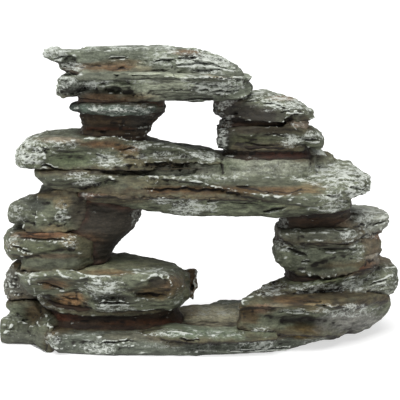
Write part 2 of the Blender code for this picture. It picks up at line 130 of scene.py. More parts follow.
def joint_distance(co, node):
    """About how far each point is from the nearest other piece, at most FAR, measured on a grid."""
    pitch = 1.5
    low = co.min(0) - 3
    shape = tuple(np.ceil((co.max(0) + 3 - low) / pitch).astype(int) + 1)
    others = np.concatenate([points for other, points in faces_of.items() if other != node])
    cell = ((others - low) / pitch).round().astype(int)
    inside = ((cell >= 0) & (cell < shape)).all(1)
    reach = np.full(shape, FAR)
    reach[tuple(cell[inside].T)] = 0
    # From the cells that hold another piece, the distance spreads a cell at a time.
    for _ in range(round(FAR / pitch)):
        padded = np.pad(reach, 1, constant_values=FAR)
        for shift in np.ndindex(3, 3, 3):
            moved = padded[tuple(slice(s, s + size) for s, size in zip(shift, shape))]
            reach = np.minimum(reach, moved + pitch * math.sqrt(sum((s - 1) ** 2 for s in shift)))
    place = (co - low) / pitch
    first = np.floor(place).astype(int)
    part = place - first
    total = np.zeros(len(co))
    for corner in np.ndindex(2, 2, 2):
        weight = np.prod(np.where(corner, part, 1 - part), axis=1)
        at = np.minimum(first + corner, np.array(shape) - 1)
        total += weight * reach[tuple(at.T)]
    return total


def edges_of(piece):
    """The two vertices that each edge joins."""
    ends = np.empty(len(piece.data.edges) * 2, np.int32)
    piece.data.edges.foreach_get("vertices", ends)
    return ends.reshape(-1, 2)


def regrain(piece, grain):
    """Remeshes the piece evenly and throws away any chip that has come loose."""
    remesh = piece.modifiers.new("grain", "REMESH")
    remesh.mode = "VOXEL"
    remesh.voxel_size = grain * MM
    bpy.ops.object.modifier_apply(modifier="grain")
    edges = edges_of(piece)
    # Each vertex takes the lowest number beside it, until every body has one number throughout.
    body = np.arange(len(piece.data.vertices))
    while True:
        least = body.copy()
        np.minimum.at(least, edges[:, 0], body[edges[:, 1]])
        np.minimum.at(least, edges[:, 1], body[edges[:, 0]])
        least = least[least]
        if (least == body).all():
            break
        body = least
    loose = body != np.bincount(body).argmax()
    if loose.any():
        piece.data.vertices.foreach_set("select", loose)
        bpy.ops.object.mode_set(mode="EDIT")
        bpy.ops.mesh.delete(type="VERT")
        bpy.ops.object.mode_set(mode="OBJECT")


FIRST_GRAIN = 0.9  # the grain of a casting before it is worked
SWELL = 0.7  # how far each casting is grown, to close the gaps at its joints


def casting(name, node):
    """A closed, evenly grained copy of a CAD node, merged, grown and remeshed."""
    bpy.ops.object.select_all(action="DESELECT")
    piece = bpy.data.objects.new(name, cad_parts[node].data.copy())
    bpy.context.scene.collection.objects.link(piece)
    bpy.context.view_layer.objects.active = piece
    piece.select_set(True)
    piece.data.materials.clear()
    bpy.ops.object.mode_set(mode="EDIT")
    bpy.ops.mesh.select_all(action="SELECT")
    bpy.ops.mesh.remove_doubles(threshold=0.00001)
    bpy.ops.object.mode_set(mode="OBJECT")
    growth = piece.modifiers.new("growth", "DISPLACE")
    growth.strength = SWELL * MM
    growth.mid_level = 0
    bpy.ops.object.modifier_apply(modifier="growth")
    regrain(piece, FIRST_GRAIN)
    return piece


def points_of(piece):
    """The vertices and their normals, in millimetres."""
    mesh = piece.data
    count = len(mesh.vertices)
    co = np.empty(count * 3, np.float32)
    no = np.empty(count * 3, np.float32)
    mesh.vertices.foreach_get("co", co)
    mesh.vertex_normals.foreach_get("vector", no)
    return co.reshape(-1, 3).astype(float) / MM, no.reshape(-1, 3).astype(float)


def move_points(piece, co):
    """Puts the vertices at these places, in millimetres."""
    piece.data.vertices.foreach_set("co", (co * MM).astype(np.float32).ravel())
    piece.data.update()


EYE_BACK, EYE_UP = 900, 250  # where the eye is: in front of the ornament and above its foot


def seen(co, front):
    """Where each point lies on the upright plane at Y = front, as the eye sees it. Cracks, ridges and
    stains are set out on that plane, as x and z in millimetres."""
    sight = (front + EYE_BACK) / (co[:, 1] + EYE_BACK)
    return np.column_stack([co[:, 0] * sight, EYE_UP + (co[:, 2] - EYE_UP) * sight])


def towards_eye(no):
    """1 where the surface faces the eye, and 0 where it faces away."""
    return ramp(0.25 * no[:, 2] - no[:, 1], 0.0, 0.25)


def struck(co, no, seed, count, depth):
    """Flat faces struck off the sides: each plane takes off whatever stands beyond it."""
    rng = np.random.default_rng(seed)
    side = np.flatnonzero((np.abs(no[:, 2]) < 0.8) & (np.abs(no[:, 0]) < 0.6))
    left, right = co[:, 0].min(), co[:, 0].max()
    from_end = np.minimum(co[:, 0] - left, right - co[:, 0]) / (right - left)
    whole = ramp(from_end, 0.03, 0.2)
    for _ in range(count):
        at = rng.choice(side)
        face = no[at] + rng.normal(size=3) * [0.3, 0.3, 0.55]
        face /= np.linalg.norm(face)
        beyond = (co - co[at]) @ face + rng.uniform(0.3, 1) * depth
        co = co - np.outer(whole * np.clip(beyond, 0, 2.2 * depth), face)
    return co


def bedded(co, no, seed, layer, ledge, dip, split):
    """Where the points lie once the stone has split along its bedding. Beds are about layer thick, slope by
    dip, and step in and out by up to ledge. split, from 0 to 1, is how badly it has broken at each point."""
    rng = np.random.default_rng(seed)
    thick = layer * rng.choice([0.3, 0.45, 0.7, 1.0, 1.6], 600, p=[0.2, 0.2, 0.25, 0.2, 0.15])
    beds = np.cumsum(thick) - 90
    height = co[:, 2] - dip * co[:, 0]
    height = height + 1.6 * drift(co * [1, 1, 0.5], 46, seed) + 0.5 * drift(co, 11, seed + 1)
    level = np.searchsorted(beds, height)
    tall = thick[level]
    within = 1 - (beds[level] - height) / tall
    side = np.linalg.norm(no[:, :2], axis=1)
    outward = no[:, :2] / np.maximum(side, 1e-6)[:, None]
    edge = ramp(side, 0.3, 0.65)
    wander = 5 * np.column_stack([drift(co, 15, seed + 2), drift(co, 15, seed + 3)])
    broken = blocks((co[:, :2] + wander) / [24, 14], level, seed)
    chips = blocks((co[:, :2] + wander) / [8, 6], level, seed + 1)
    wave = drift(np.column_stack([co[:, :2], level * 19.3]), 26, seed + 4)
    step = 0.6 * broken + 0.4 * chips + 0.6 * wave
    lip = -0.7 * (1 - within) ** 1.5 * np.minimum(tall, 4) / 4
    slot = np.where(tall < 0.5 * layer, -1.2, 0) * ramp(wave, -0.2, 0.2)
    moved = co.copy()
    shift = edge * split * ledge * (step + lip + slot - 0.3)
    moved[:, :2] += outward * shift[:, None]
    flat = ramp(np.abs(no[:, 2]), 0.5, 0.85)
    leaf = 1.4
    drawn = co * [0.5, 1, 0.5]
    rise = height + 1.6 * drift(drawn, 22, seed + 7) + 0.6 * drift(drawn, 8, seed + 8)
    part = rise / leaf - np.floor(rise / leaf)
    moved[:, 2] += flat * ((ramp(part, 0.75, 1.0) - part) * leaf * 0.8 + 0.4)
    return moved


def inward(no):
    """The way a tool goes in: level from the front, down from above."""
    top = ramp(no[:, 2], 0.5, 0.9)[:, None]
    return (1 - top) * [0, 1, 0] + top * [0, 0, -0.6]


NARROW = 2.7  # a crack up to this height is cut last, because remeshing would close it


def cracked(co, no, front, cracks, sharp):
    """Cracks cut from the front: each is the x and z of its two ends, its height and its depth. Gives the
    points and how far each is into a crack. sharp cuts the narrow ones, and otherwise the wide ones."""
    opened = np.zeros(len(co))
    wander, breadth = (1.3, 0.45) if sharp else (0.7, 0.6)
    for x0, z0, x1, z1, tall, depth in cracks:
        if sharp == (tall > NARROW):
            continue
        at = seen(co, front)
        along = (at[:, 0] - x0) / (x1 - x0)
        middle = z0 + (z1 - z0) * along + wander * drift(co * [1, 0.3, 0.3], 7, int(x0 + 500))
        taper = np.clip(4 * along * (1 - along), 0, 1) ** 0.5
        off = np.abs(at[:, 1] - middle) / (breadth * tall * np.maximum(taper, 0.05) + 0.15 * sharp)
        across = 1 - (ramp(off, 0.1, 1.3) if sharp else ramp(off, 0.7, 1.2))
        cut = np.where((along > 0) & (along < 1), across * taper, 0) * towards_eye(no)
        co = co + inward(no) * (cut * (0.5 * depth + 0.4 if sharp else 1.4 * depth))[:, None]
        opened = np.maximum(opened, cut)
    return co, opened


def scooped(co, no, front, scoops):
    """Scoops out of the front: each is the x and z of its middle, its reach across and up, and its depth,
    negative for a bulge."""
    for *place, depth in scoops:
        away = (((seen(co, front) - place[:2]) / place[2:]) ** 2).sum(1) + 0.3 * drift(co, 6, 3)
        co = co + inward(no) * (towards_eye(no) * depth * (1 - ramp(away, 0.2, 1.0)))[:, None]
    return co


def along_lines(co, no, front, lines):
    """How near each point is to one of the lines drawn on the front, from 1 on it to 0 a millimetre off.
    A line is the x and z of its points in turn."""
    at = seen(co, front) + 1.1 * np.column_stack([drift(co, 5, 8), drift(co, 5, 9)])
    best = np.full(len(co), 9.0)
    for line in lines:
        ends = np.reshape(line, (-1, 2))
        for a, b in zip(ends, ends[1:]):
            part = np.clip((at - a) @ (b - a) / ((b - a) @ (b - a)), 0, 1)
            best = np.minimum(best, np.linalg.norm(at - a - part[:, None] * (b - a), axis=1))
    worn = ramp(drift(co, 4, 10), -0.35, 0.2)
    return np.exp(-((best / 0.65) ** 2)) * worn * towards_eye(no)


def spots(co, no, front, marks):
    """How much each point lies in one of the marks on the front: each is the x and z of its middle and its
    reach across and up."""
    total = np.zeros(len(co))
    ragged = 0.3 * drift(co * [0.6, 1, 1.4], 8, 5) + 0.25 * drift(co * [0.6, 1, 1.6], 3, 6)
    at = seen(co, front)
    for mark in marks:
        away = np.linalg.norm((at - mark[:2]) / mark[2:], axis=1) + ragged
        total = np.maximum(total, 1 - ramp(away, 0.35, 1.3))
    return total * ramp(0.6 * no[:, 2] - no[:, 1], -0.7, -0.2)


def neighbours_mean(values, edges, count):
    """The mean of each vertex's neighbours."""
    total = np.zeros((count, values.shape[1]))
    for a, b in ((0, 1), (1, 0)):
        for axis in range(values.shape[1]):
            total[:, axis] += np.bincount(edges[:, a], values[edges[:, b], axis], count)
    tied = np.bincount(edges.ravel(), minlength=count)
    return total / np.maximum(tied, 1)[:, None]


BROWN = (0.062, 0.042, 0.019)
RUST = (0.115, 0.066, 0.032)
TAN = (0.20, 0.155, 0.085)
# The black marks are painted shadow, laid into slots and hollows under overhangs and between the stones.
SHADOW_BLACK = (0.012, 0.010, 0.009)
GREEN = (0.115, 0.145, 0.080)
PALE = (0.58, 0.61, 0.56, 1)
# DARK is the near-black that painted shade in hollows, under overhangs, at joints and in cracks takes the
# coat to, with darker bands of grain.
DARK = (0.014, 0.011, 0.009, 1)
RESIN = (0.98, 0.97, 0.91)  # the faint yellow that the resin lends every coat


def paint(piece, node, front, coat, wash, seam, stains, dusted, ridges, opened):
    """Stores on each point its coat of colour, how far pale paint has caught on it, with a painted highlight
    on its tops, and how much painted shade darkens it in hollows, under overhangs, at joints and in cracks,
    partly as a dark wash. A stain is a mark with a colour and a strength, and a dusted place is a mark with
    a strength."""
    mesh = piece.data
    co, no = points_of(piece)
    count = len(co)
    edges = edges_of(piece)
    smooth = co
    standing = {}
    for turn in range(1, 17):
        smooth = 0.5 * smooth + 0.5 * neighbours_mean(smooth, edges, count)
        if turn in (3, 7, 16):
            standing[turn] = ((co - smooth) * no).sum(1)
    joint = joint_distance(co, node)
    # Pale paint dragged over the edges and ridges. The lift on upward faces is a painted highlight for light
    # from above.
    wear_and_top_light = ramp(standing[3], 0.06, 0.26) * 0.6 + ramp(standing[7], 0.15, 0.6) * 0.45
    wear_and_top_light += 0.27 * ramp(no[:, 2], 0.3, 0.95) + 0.5 * along_lines(co, no, front, ridges)
    wear_and_top_light *= ramp(joint, 1.5, 4.5) * (1 - ramp(opened, 0.4, 0.8))
    # Painted shade: darker in hollows (partly a dark wash), on faces turned down, at the joints and inside
    # the cracks.
    shade_and_wash = ramp(-standing[7], 0.05, 0.4) * 0.7 + ramp(-standing[16], 0.12, 0.8) * 0.6
    joint += 1.5 * drift(co, 9, 4)
    painted_underside_and_joint_shade = 0.65 * ramp(-no[:, 2], 0.0, 0.8) + seam * (1 - ramp(joint, 0.5, 3.5))
    shade_and_wash += painted_underside_and_joint_shade + 1.2 * ramp(opened, 0.35, 1.0)
    tone = 0.5 + 0.6 * drift(co * [0.6, 1, 1.2], 19, 2) + 0.25 * drift(co, 5, 3)
    colour = np.array(coat[0]) + np.clip(tone, 0, 1)[:, None] * (np.array(coat[1]) - coat[0])
    colour += 0.75 * (1 - ramp(joint, 0.5, 5.5))[:, None] * (np.array(wash) - colour)
    for *place, shade, strength in stains:
        near = strength * spots(co, no, front, [place])
        colour += near[:, None] * (np.array(shade) - colour)
        wear_and_top_light -= 0.5 * near * (max(shade) < 0.4)
    colour *= RESIN
    dust = np.zeros(count)
    for *place, strength in dusted:
        dust = np.maximum(dust, strength * spots(co, no, front, [place]))
    for name, values in (("wear_and_top_light", wear_and_top_light), ("shade_and_wash", shade_and_wash), ("dust", dust)):
        layer = mesh.attributes.new(name, "FLOAT", "POINT")
        layer.data.foreach_set("value", np.clip(values, 0, 1).astype(np.float32))
    layer = mesh.attributes.new("coat", "FLOAT_COLOR", "POINT")
    layer.data.foreach_set("color", np.column_stack([colour, np.ones(count)]).astype(np.float32).ravel())


def painted(name, dusting, roughness):
    """Hand paint on resin: the stored coat, mottled, with painted shade (partly a dark wash) in hollows,
    under overhangs, at joints and in cracks, pale paint on edges and a painted highlight on tops.
    """
    material = bpy.data.materials.new(name)
    material.use_nodes = True
    nodes = material.node_tree.nodes
    links = material.node_tree.links
    nodes.clear()

    def plug(socket, value):
        """Links a socket to another, or sets it to a value."""
        if isinstance(value, bpy.types.NodeSocket):
            links.new(value, socket)
        else:
            socket.default_value = value

    def node(kind, inputs, **settings):
        made = nodes.new("ShaderNode" + kind)
        for key, value in settings.items():
            setattr(made, key, value)
        for key, value in inputs.items():
            plug(made.inputs[key], value)
        return made

    place = node("TexCoord", {}).outputs["Object"]

    def noise(size, detail, stretch, rough):
        """Noise with features about size millimetres across."""
        vector = node("Mapping", {"Vector": place, "Scale": stretch}).outputs["Vector"]
        settings = {"Vector": vector, "Scale": 1 / (size * MM), "Detail": detail, "Roughness": rough}
        return node("TexNoise", settings).outputs["Fac"]

    def attribute(key, output="Fac"):
        """What paint() stored on the points."""
        return node("Attribute", {}, attribute_name=key).outputs[output]

    def maths(operation, *terms):
        """The terms taken together in turn by one operation."""
        total = terms[0]
        for term in terms[1:]:
            total = node("Math", {0: total, 1: term}, operation=operation).outputs[0]
        return total

    def span(value, low, high, bottom=0.0, top=1.0):
        """Bottom where the value is low, top where it is high, and smooth between them."""
        ends = {"From Min": low, "From Max": high, "To Min": bottom, "To Max": top}
        return node("MapRange", {"Value": value, **ends}, interpolation_type="SMOOTHSTEP").outputs["Result"]

    def mix(factor, a, b, blend="MIX"):
        """Colour b laid over colour a."""
        made = node("Mix", {"Factor": factor}, data_type="RGBA", blend_type=blend)
        for socket, value in zip([socket for socket in made.inputs if socket.type == "RGBA"], (a, b)):
            plug(socket, value)
        return [socket for socket in made.outputs if socket.type == "RGBA"][0]

    # The grain of the resin, its beds, and two nets of hairlines that pale paint catches on.
    stipple = noise(1.5, 3, (1, 1, 1.3), 0.7)
    laminae = noise(5, 5, (0.6, 0.6, 2.4), 0.62)
    crackle = noise(8, 4, (1, 1, 1.4), 0.55)
    vein = span(maths("ABSOLUTE", maths("SUBTRACT", crackle, 0.5), 0), 0.008, 0.03, 1.0, 0.0)
    craze = noise(4.5, 2, (0.9, 0.9, 1.3), 0.5)
    thread = span(maths("ABSOLUTE", maths("SUBTRACT", craze, 0.5), 0), 0.012, 0.05, 1.0, 0.0)
    streak = noise(3.2, 4, (0.5, 0.5, 1.9), 0.6)
    # The coat, mottled, with painted shade over it in hollows (partly a dark wash), undersides, joints and
    # cracks, and darker bands of grain.
    mottle = maths("MULTIPLY", span(stipple, 0.25, 0.75, 0.68, 1.32), span(laminae, 0.3, 0.7, 0.6, 1.4))
    tint = node("CombineColor", {0: mottle, 1: mottle, 2: mottle}).outputs["Color"]
    colour = mix(1.0, attribute("coat", "Color"), tint, "MULTIPLY")
    dark = maths("ADD", attribute("shade_and_wash"), maths("MULTIPLY", maths("SUBTRACT", 0.5, laminae), 1.1))
    colour = mix(span(dark, 0.25, 1.0, 0.0, 0.92), colour, DARK)
    # The pale paint, rubbed along the edges and frosted over the dusted marks, with the painted highlight on
    # the tops.
    loose = maths("ADD", maths("MULTIPLY", stipple, 0.4), maths("MULTIPLY", streak, 1.1), -0.75)
    rub = span(maths("ADD", attribute("wear_and_top_light"), loose, maths("MULTIPLY", vein, 0.12)), 0.24, 0.76)
    net = maths("ADD", maths("MULTIPLY", vein, 0.35), maths("MULTIPLY", thread, 0.34))
    frost = maths("MULTIPLY", attribute("dust"), maths("ADD", net, loose, loose, 0.28))
    pale = maths("MULTIPLY", maths("MAXIMUM", rub, span(frost, 0.08, 0.7)), dusting)
    colour = mix(pale, colour, PALE)
    # The fine relief and the dull gloss of the paint.
    relief = maths("ADD", maths("MULTIPLY", stipple, 0.6), maths("MULTIPLY", laminae, 1.4))
    relief = maths("ADD", relief, maths("MULTIPLY", vein, 0.25))
    bump = node("Bump", {"Strength": 0.8, "Distance": 0.7 * MM, "Height": relief}).outputs["Normal"]
    gloss = span(stipple, 0.2, 0.8, roughness - 0.12, roughness + 0.12)
    settings = {"Base Color": colour, "Roughness": gloss, "Specular IOR Level": 0.35, "Normal": bump}
    node("OutputMaterial", {"Surface": node("BsdfPrincipled", settings).outputs["BSDF"]})
    return material


slate_paint = painted("slate_paint", 0.85, 0.72)
GRAIN = 0.85  # the size of the finest chips
SHARP = math.radians(38)  # edges sharper than this stay crisp
SLATE = ((0.062, 0.067, 0.047), (0.135, 0.150, 0.105))


def stone(
    name, node, front, seed, coat=SLATE, wash=BROWN, facets=(10, 2.2), calm=0.3, layer=4.0, ledge=2.2,
    dip=0.03, seam=0.55, weld=1.2, sink=0.0, split=(), cracks=(), scoops=(), ridges=(), crumbled=(),
    stains=(), dusted=(), finish=slate_paint, slot="slate",
):
    """One piece, struck to facets, split along its bedding, cracked, crumbled, painted and bonded in.

    front is where the plane stands that its marks are set out on. coat is its darkest and lightest colour,
    and wash the colour in its joints, where seam is how much painted shade darkens them. facets is how many
    flat faces are struck off, and how deep. calm is how badly it has split away from its split marks. weld
    is how far the bond fills out round its joints, and sink how far its foot is let down on to what is
    below."""
    piece = casting(name, node)
    co, no = points_of(piece)
    joint = joint_distance(co, node)
    # The free faces are warped, struck and split. The foot stays flat, and the joints stay as they were.
    loose = ramp(joint, 0.5, 4.5)[:, None]
    shaped = co + 1.4 * np.column_stack([drift(co, 30, seed + k) for k in (11, 12, 13)]) * [1, 1, 0.5]
    shaped = struck(shaped, no, seed, facets[0], 1.5 * facets[1])
    badly = calm + (1 - calm) * spots(co, no, front, split)
    shaped = bedded(shaped, no, seed, layer, ledge, dip, badly)
    ground = ramp(co[:, 2], 0.5, 4)
    shaped[:, 2] = co[:, 2] + (shaped[:, 2] - co[:, 2]) * ground
    co = co + (shaped - co) * loose
    # The bond fills out round the joints, and the foot is let down.
    side = np.linalg.norm(no[:, :2], axis=1)[:, None]
    filled = weld * (1 - ramp(joint, 0, 3 + weld))[:, None] * ramp(side, 0.2, 0.5)
    co[:, :2] += filled * no[:, :2] / np.maximum(side, 0.01)
    low = co[:, 2].min()
    co[:, 2] -= sink * (1 - ramp(co[:, 2] - low, 0, 3 * sink + 0.1))
    co = scooped(co, no, front, scoops)
    co, _ = cracked(co, no, front, cracks, sharp=False)
    co = co + no * (0.4 * along_lines(co, no, front, ridges))[:, None]
    move_points(piece, co)
    regrain(piece, GRAIN)
    co, no = points_of(piece)
    # The finest work comes after the last remesh: grain, crumbled patches and narrow cracks.
    pits = np.abs(drift(co, 3.2, seed + 7)) + 0.7 * np.abs(drift(co, 6.5, seed + 8)) - 0.6
    rough = 0.3 * drift(co * [0.7, 0.7, 1.8], 3.2, seed + 9)
    rough += 0.35 * drift(co * [0.6, 0.6, 1.8], 8, seed + 10)
    rough += 1.8 * pits * spots(co, no, front, crumbled)
    co, opened = cracked(co + no * rough[:, None], no, front, cracks, sharp=True)
    move_points(piece, np.clip(co, box[0], box[1]))
    paint(piece, node, front, coat, wash, seam, stains, dusted, ridges, opened)
    bpy.ops.object.shade_smooth_by_angle(angle=SHARP)
    piece.data.materials.append(finish)
    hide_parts(node)
    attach(piece, "root")
    return piece


stone(
    "base", "base_slab", -56, 101, coat=((0.06, 0.068, 0.055), (0.12, 0.135, 0.11)), facets=(14, 1.4),
    calm=0.45, split=[(-56, 9.5, 26, 5), (38, 9.5, 20, 5)],
    cracks=[(-64, 10.5, -41, 12, 1.5, 3), (16, 5, 56, 7.5, 1.2, 3)],
    ridges=[
        (-94, 18, -90, 16, -87, 10.5), (-71, 11.5, -63, 14, -55, 10.5), (25, 18.5, 33, 14, 36, 8),
        (39, 18.5, 43, 14, 41, 8),
    ],
    stains=[
        (-78, 23.5, 27, 5, BROWN, 0.9), (9, 29.5, 26, 7, (0.38, 0.36, 0.26), 0.9),
        (-7, 30.5, 7, 5, TAN, 0.6), (31, 27, 8, 6, BROWN, 0.8), (-87, 18.5, 10, 4, BROWN, 0.6),
        (66, 17, 13, 4, (0.136, 0.0884, 0.0238), 0.9), (-38, 15, 30, 4, (0.09, 0.08, 0.055), 0.6),
        (-89, 12.5, 3, 2.5, SHADOW_BLACK, 0.9),
    ],
    dusted=[
        (-64, 8, 12, 5, 0.8), (35, 11.5, 14, 8, 0.9), (-93, 12.5, 8, 8, 0.6), (0, 8, 30, 4, 0.35),
        (75, 11.5, 14, 3, 0.5), (-31, 9.5, 30, 3, 0.35), (9, 30.5, 22, 5, 0.5),
    ],
)

# The rough stone at the foot's left end, cast in resin and bonded to the end of the base slab. It is
# craggy, with its outer edge dusted pale and brown wash where it is bonded.
stone(
    "left_foot_stone", "base_left_stone", -40, 203, facets=(10, 2.4), calm=0.7, layer=5.0, weld=3.0,
    sink=11.0, scoops=[(-113, 22.5, 3, 6, 1.8)], ridges=[(-104, 26.5, -114, 18.5, -120, 13)],
    crumbled=[(-121, 16, 6, 7)],
    stains=[(-105, 26.5, 8, 9, BROWN, 0.9), (-111, 9.5, 18, 6, (0.09, 0.095, 0.08), 0.7)],
    dusted=[(-121, 22.5, 4, 10, 0.3)],
)

# The thin green leaf, cast in resin and bonded along the front of the base slab. Its lip is painted pale
# and has a dark crack under it.
stone(
    "foot_leaf", "base_leaf", -55, 231, coat=((0.08, 0.1, 0.07), (0.135, 0.165, 0.115)), facets=(6, 1.2),
    calm=0.4, layer=2.5, cracks=[(-13, 13.5, 0, 11.5, 1.8, 4)],
    ridges=[(-34, 19.5, -26, 17, -15, 15.5, -8, 16.5), (-34, 19.5, -25, 23.5, -9, 25.5)],
    stains=[(9, 23.5, 26, 4, (0.2, 0.22, 0.16), 0.7)],
    dusted=[(-21, 17, 13, 3, 0.8), (9, 17, 14, 5, 0.4)],
)

# The putty under the boulder. It is resin like the stones, packed in layers between the slab and the
# boulder, then hollowed and painted a dark red-brown.
putty_paint = painted("putty_paint", 0.45, 0.78)
PUTTY = ((0.022, 0.017, 0.012), (0.070, 0.045, 0.027))


def putty(name, node, front, seed, coat=PUTTY, **work):
    """One packed joint: the same casting work as a stone, but softer, in thin layers and dark."""
    settings = dict(wash=(0.03, 0.016, 0.010), facets=(0, 1.0), layer=3.2, ledge=1.7, calm=0.7, weld=0.6)
    return stone(name, node, front, seed, coat=coat, finish=putty_paint, slot="putty", **(settings | work))


putty(
    "boulder_joint", "left_joint", -33, 301,
    stains=[
        (-86, 21, 14, 3, (0.0952, 0.0306, 0.015), 0.8), (-32, 18, 30, 2.5, (0.0884, 0.034, 0.015), 0.7),
        (-58, 21, 30, 3, SHADOW_BLACK, 0.8), (-99, 21, 7, 6, (0.0884, 0.0476, 0.0272), 0.7),
    ],
)

# The boulder, the biggest stone of the left pillar, cast in resin and bedded on its putty. Its broad green
# faces were struck flat. Rusty cracks open at the left, a dusted bulge stands in the middle, and the right
# end has split open to a brown hollow.
stone(
    "boulder", "left_boulder", -52, 401, facets=(5, 1.5), calm=0.15, layer=4.5, dip=-0.04, weld=4.0,
    sink=5.0, split=[(-55, 37.5, 16, 6)],
    cracks=[
        (-102, 49.5, -84, 44, 1.6, 4), (-87, 39.5, -76, 37.5, 1.0, 2), (-43, 42, -19, 40, 1.5, 4),
        (-65, 35.5, -43, 35, 1.8, 4),
    ],
    scoops=[
        (-26, 48.5, 8, 5, 5), (-31, 42, 14, 4.5, 5), (-81, 36.5, 8, 4, 2.5), (-61, 45.5, 15, 6, -2.2),
        (-81, 33.5, 30, 6, -3.0), (-56, 37.5, 15, 3.5, 3.0), (-90, 46.5, 11, 4, 2),
    ],
    ridges=[
        (-102, 61, -111, 55.5), (-107, 50, -104, 44.5, -101, 34),
        (-89, 56, -82, 49.5, -74, 42.5, -75, 37.5), (-74, 51.5, -65, 53.5, -56, 51.5, -47, 47.5),
        (-41, 44, -39, 38.5, -36, 33), (-42, 57, -31, 56, -21, 58.5), (-21, 55.5, -17, 47.5, -11, 42.5),
        (-32, 52, -26, 54, -21, 53.5), (-64, 32, -55, 30.5, -48, 32),
    ],
    stains=[
        (-91, 47.5, 13, 3.5, RUST, 0.85), (-81, 37.5, 10, 5, (0.3, 0.18, 0.09), 0.95),
        (-58, 55.5, 17, 2.4, (0.15, 0.0952, 0.0476), 0.85), (-28, 42.5, 15, 5, (0.1, 0.072, 0.036), 0.95),
        (-55, 37.5, 16, 3, SHADOW_BLACK, 0.7), (-26, 48.5, 7, 4, (0.06, 0.05, 0.035), 0.9),
        (-16, 49, 8, 6, (0.102, 0.0646, 0.034), 0.7), (-87, 66, 30, 3, (0.12, 0.08, 0.05), 0.6),
        (-65, 61, 55, 5, (0.21, 0.215, 0.14), 0.8), (-65, 63, 30, 3, GREEN, 0.5),
        (-87, 61.5, 18, 4, GREEN, 0.4),
    ],
    dusted=[
        (-61, 45.5, 16, 7, 1.0), (-56, 32, 14, 3, 0.8), (-99, 37.5, 6, 6, 0.6), (-106, 53, 6, 6, 0.6),
        (-31, 56, 14, 2.5, 0.6), (-88, 33, 12, 3, 0.5), (-13, 37.5, 5, 6, 0.5),
    ],
)

# The brown block behind the boulder's right end, a plain resin casting bonded to the boulder. It is left
# rougher than the stones in front of it.
stone(
    "rear_block", "left_rear_block", -7, 431, coat=((0.1, 0.065, 0.035), (0.19, 0.125, 0.07)),
    facets=(8, 2.0), calm=0.5, dusted=[(-9, 31.5, 5, 4, 0.5)],
)

# The craggy stone behind the left edge, between foot and pillar. It is a resin casting, bonded between its
# neighbours and washed brown.
stone(
    "rear_stone", "left_rear_stone", -12, 461, coat=((0.06, 0.055, 0.045), (0.13, 0.13, 0.11)),
    facets=(8, 2.4), calm=0.8, layer=5.0, crumbled=[(-123, 37.5, 9, 16)],
    stains=[(-119, 53, 7, 5, BROWN, 0.9)], dusted=[(-125, 37.5, 6, 12, 0.4)],
)

# The middle stone of the left pillar, a resin casting bonded on to the boulder. It is green-faced, with a
# rust band along its top and a yellow crumbling patch.
stone(
    "pillar_stone", "left_middle_stone", -40, 503, facets=(9, 2.2), calm=0.3,
    cracks=[(-120, 69.5, -106, 65, 2.0, 4), (-114, 74.5, -78, 73, 1.6, 3)],
    ridges=[(-103, 67.5, -93, 72, -84, 74), (-121, 73, -117, 69.5, -110, 67.5), (-87, 69.5, -81, 67)],
    crumbled=[(-118, 70.5, 8, 6), (-82, 71.5, 7, 6)],
    # The dark mark at the right end is painted shade, where the stone turns into the shaded hollow over the
    # core.
    stains=[
        (-97, 76.5, 22, 2.6, (0.136, 0.068, 0.034), 0.95), (-82, 71.5, 7, 6, TAN, 0.75),
        (-91, 63, 30, 2, (0.0884, 0.0578, 0.034), 0.7), (-118, 70, 6, 4, TAN, 0.4),
        (-98, 68, 18, 4, (0.065, 0.072, 0.038), 0.75), (-72, 68.5, 9, 8, (0.06, 0.055, 0.03), 0.8),
    ],
    dusted=[(-118, 72, 7, 6, 0.5), (-82, 72, 6, 5, 0.6)],
)

# The top stone of the left pillar, a resin casting bonded on to the middle one. White paint runs along its
# edges in loose curls.
stone(
    "pillar_head", "left_top_stone", -36, 533, facets=(9, 2.4), calm=0.45, scoops=[(-101, 96, 9, 4, 2.5)],
    ridges=[
        (-118, 89, -113, 93, -104, 93.5), (-115, 88, -111, 84, -112, 80), (-100, 89, -96, 84, -95, 79.5),
        (-91, 88, -88, 93, -86, 96),
    ],
    crumbled=[(-87, 89, 6, 8)],
    # The dark mark at the right end is painted shade, where the stone turns into the shaded hollow over the
    # core.
    stains=[
        (-76, 90.5, 9, 14, (0.045, 0.038, 0.028), 0.85), (-96, 101, 12, 4, BROWN, 0.8),
        (-87, 96, 6, 4, TAN, 0.6), (-102, 95.5, 9, 4, (0.05, 0.055, 0.05), 0.7),
        (-91, 80, 10, 3, TAN, 0.4),
    ],
    dusted=[(-115, 89.5, 9, 8, 0.5), (-87, 89, 5, 8, 0.8), (-111, 99.5, 9, 4, 0.5)],
)

# The putty core that carries the left end of the shelf. It is resin, trowelled smooth between the stones and
# painted dark grey, reddish at the top. The dark grey is partly its own colour and partly painted shade on
# this hollow face.
putty(
    "pillar_core", "left_core", -24, 563, coat=((0.024, 0.021, 0.016), (0.05, 0.043, 0.034)),
    wash=(0.055, 0.026, 0.018), calm=0.25, ridges=[(-42, 90.5, -40, 87, -42, 82.5, -44, 79)],
    crumbled=[(-41, 85.5, 4, 8)],
    stains=[
        (-73, 98.5, 30, 4, (0.085, 0.04, 0.02), 0.9), (-74, 71, 14, 5, (0.075, 0.045, 0.024), 0.7),
        (-51, 66.5, 14, 5, SHADOW_BLACK, 0.5), (-88, 92.5, 7, 6, (0.0884, 0.0544, 0.034), 0.5),
    ],
    dusted=[(-41, 85.5, 4, 8, 0.8)],
)

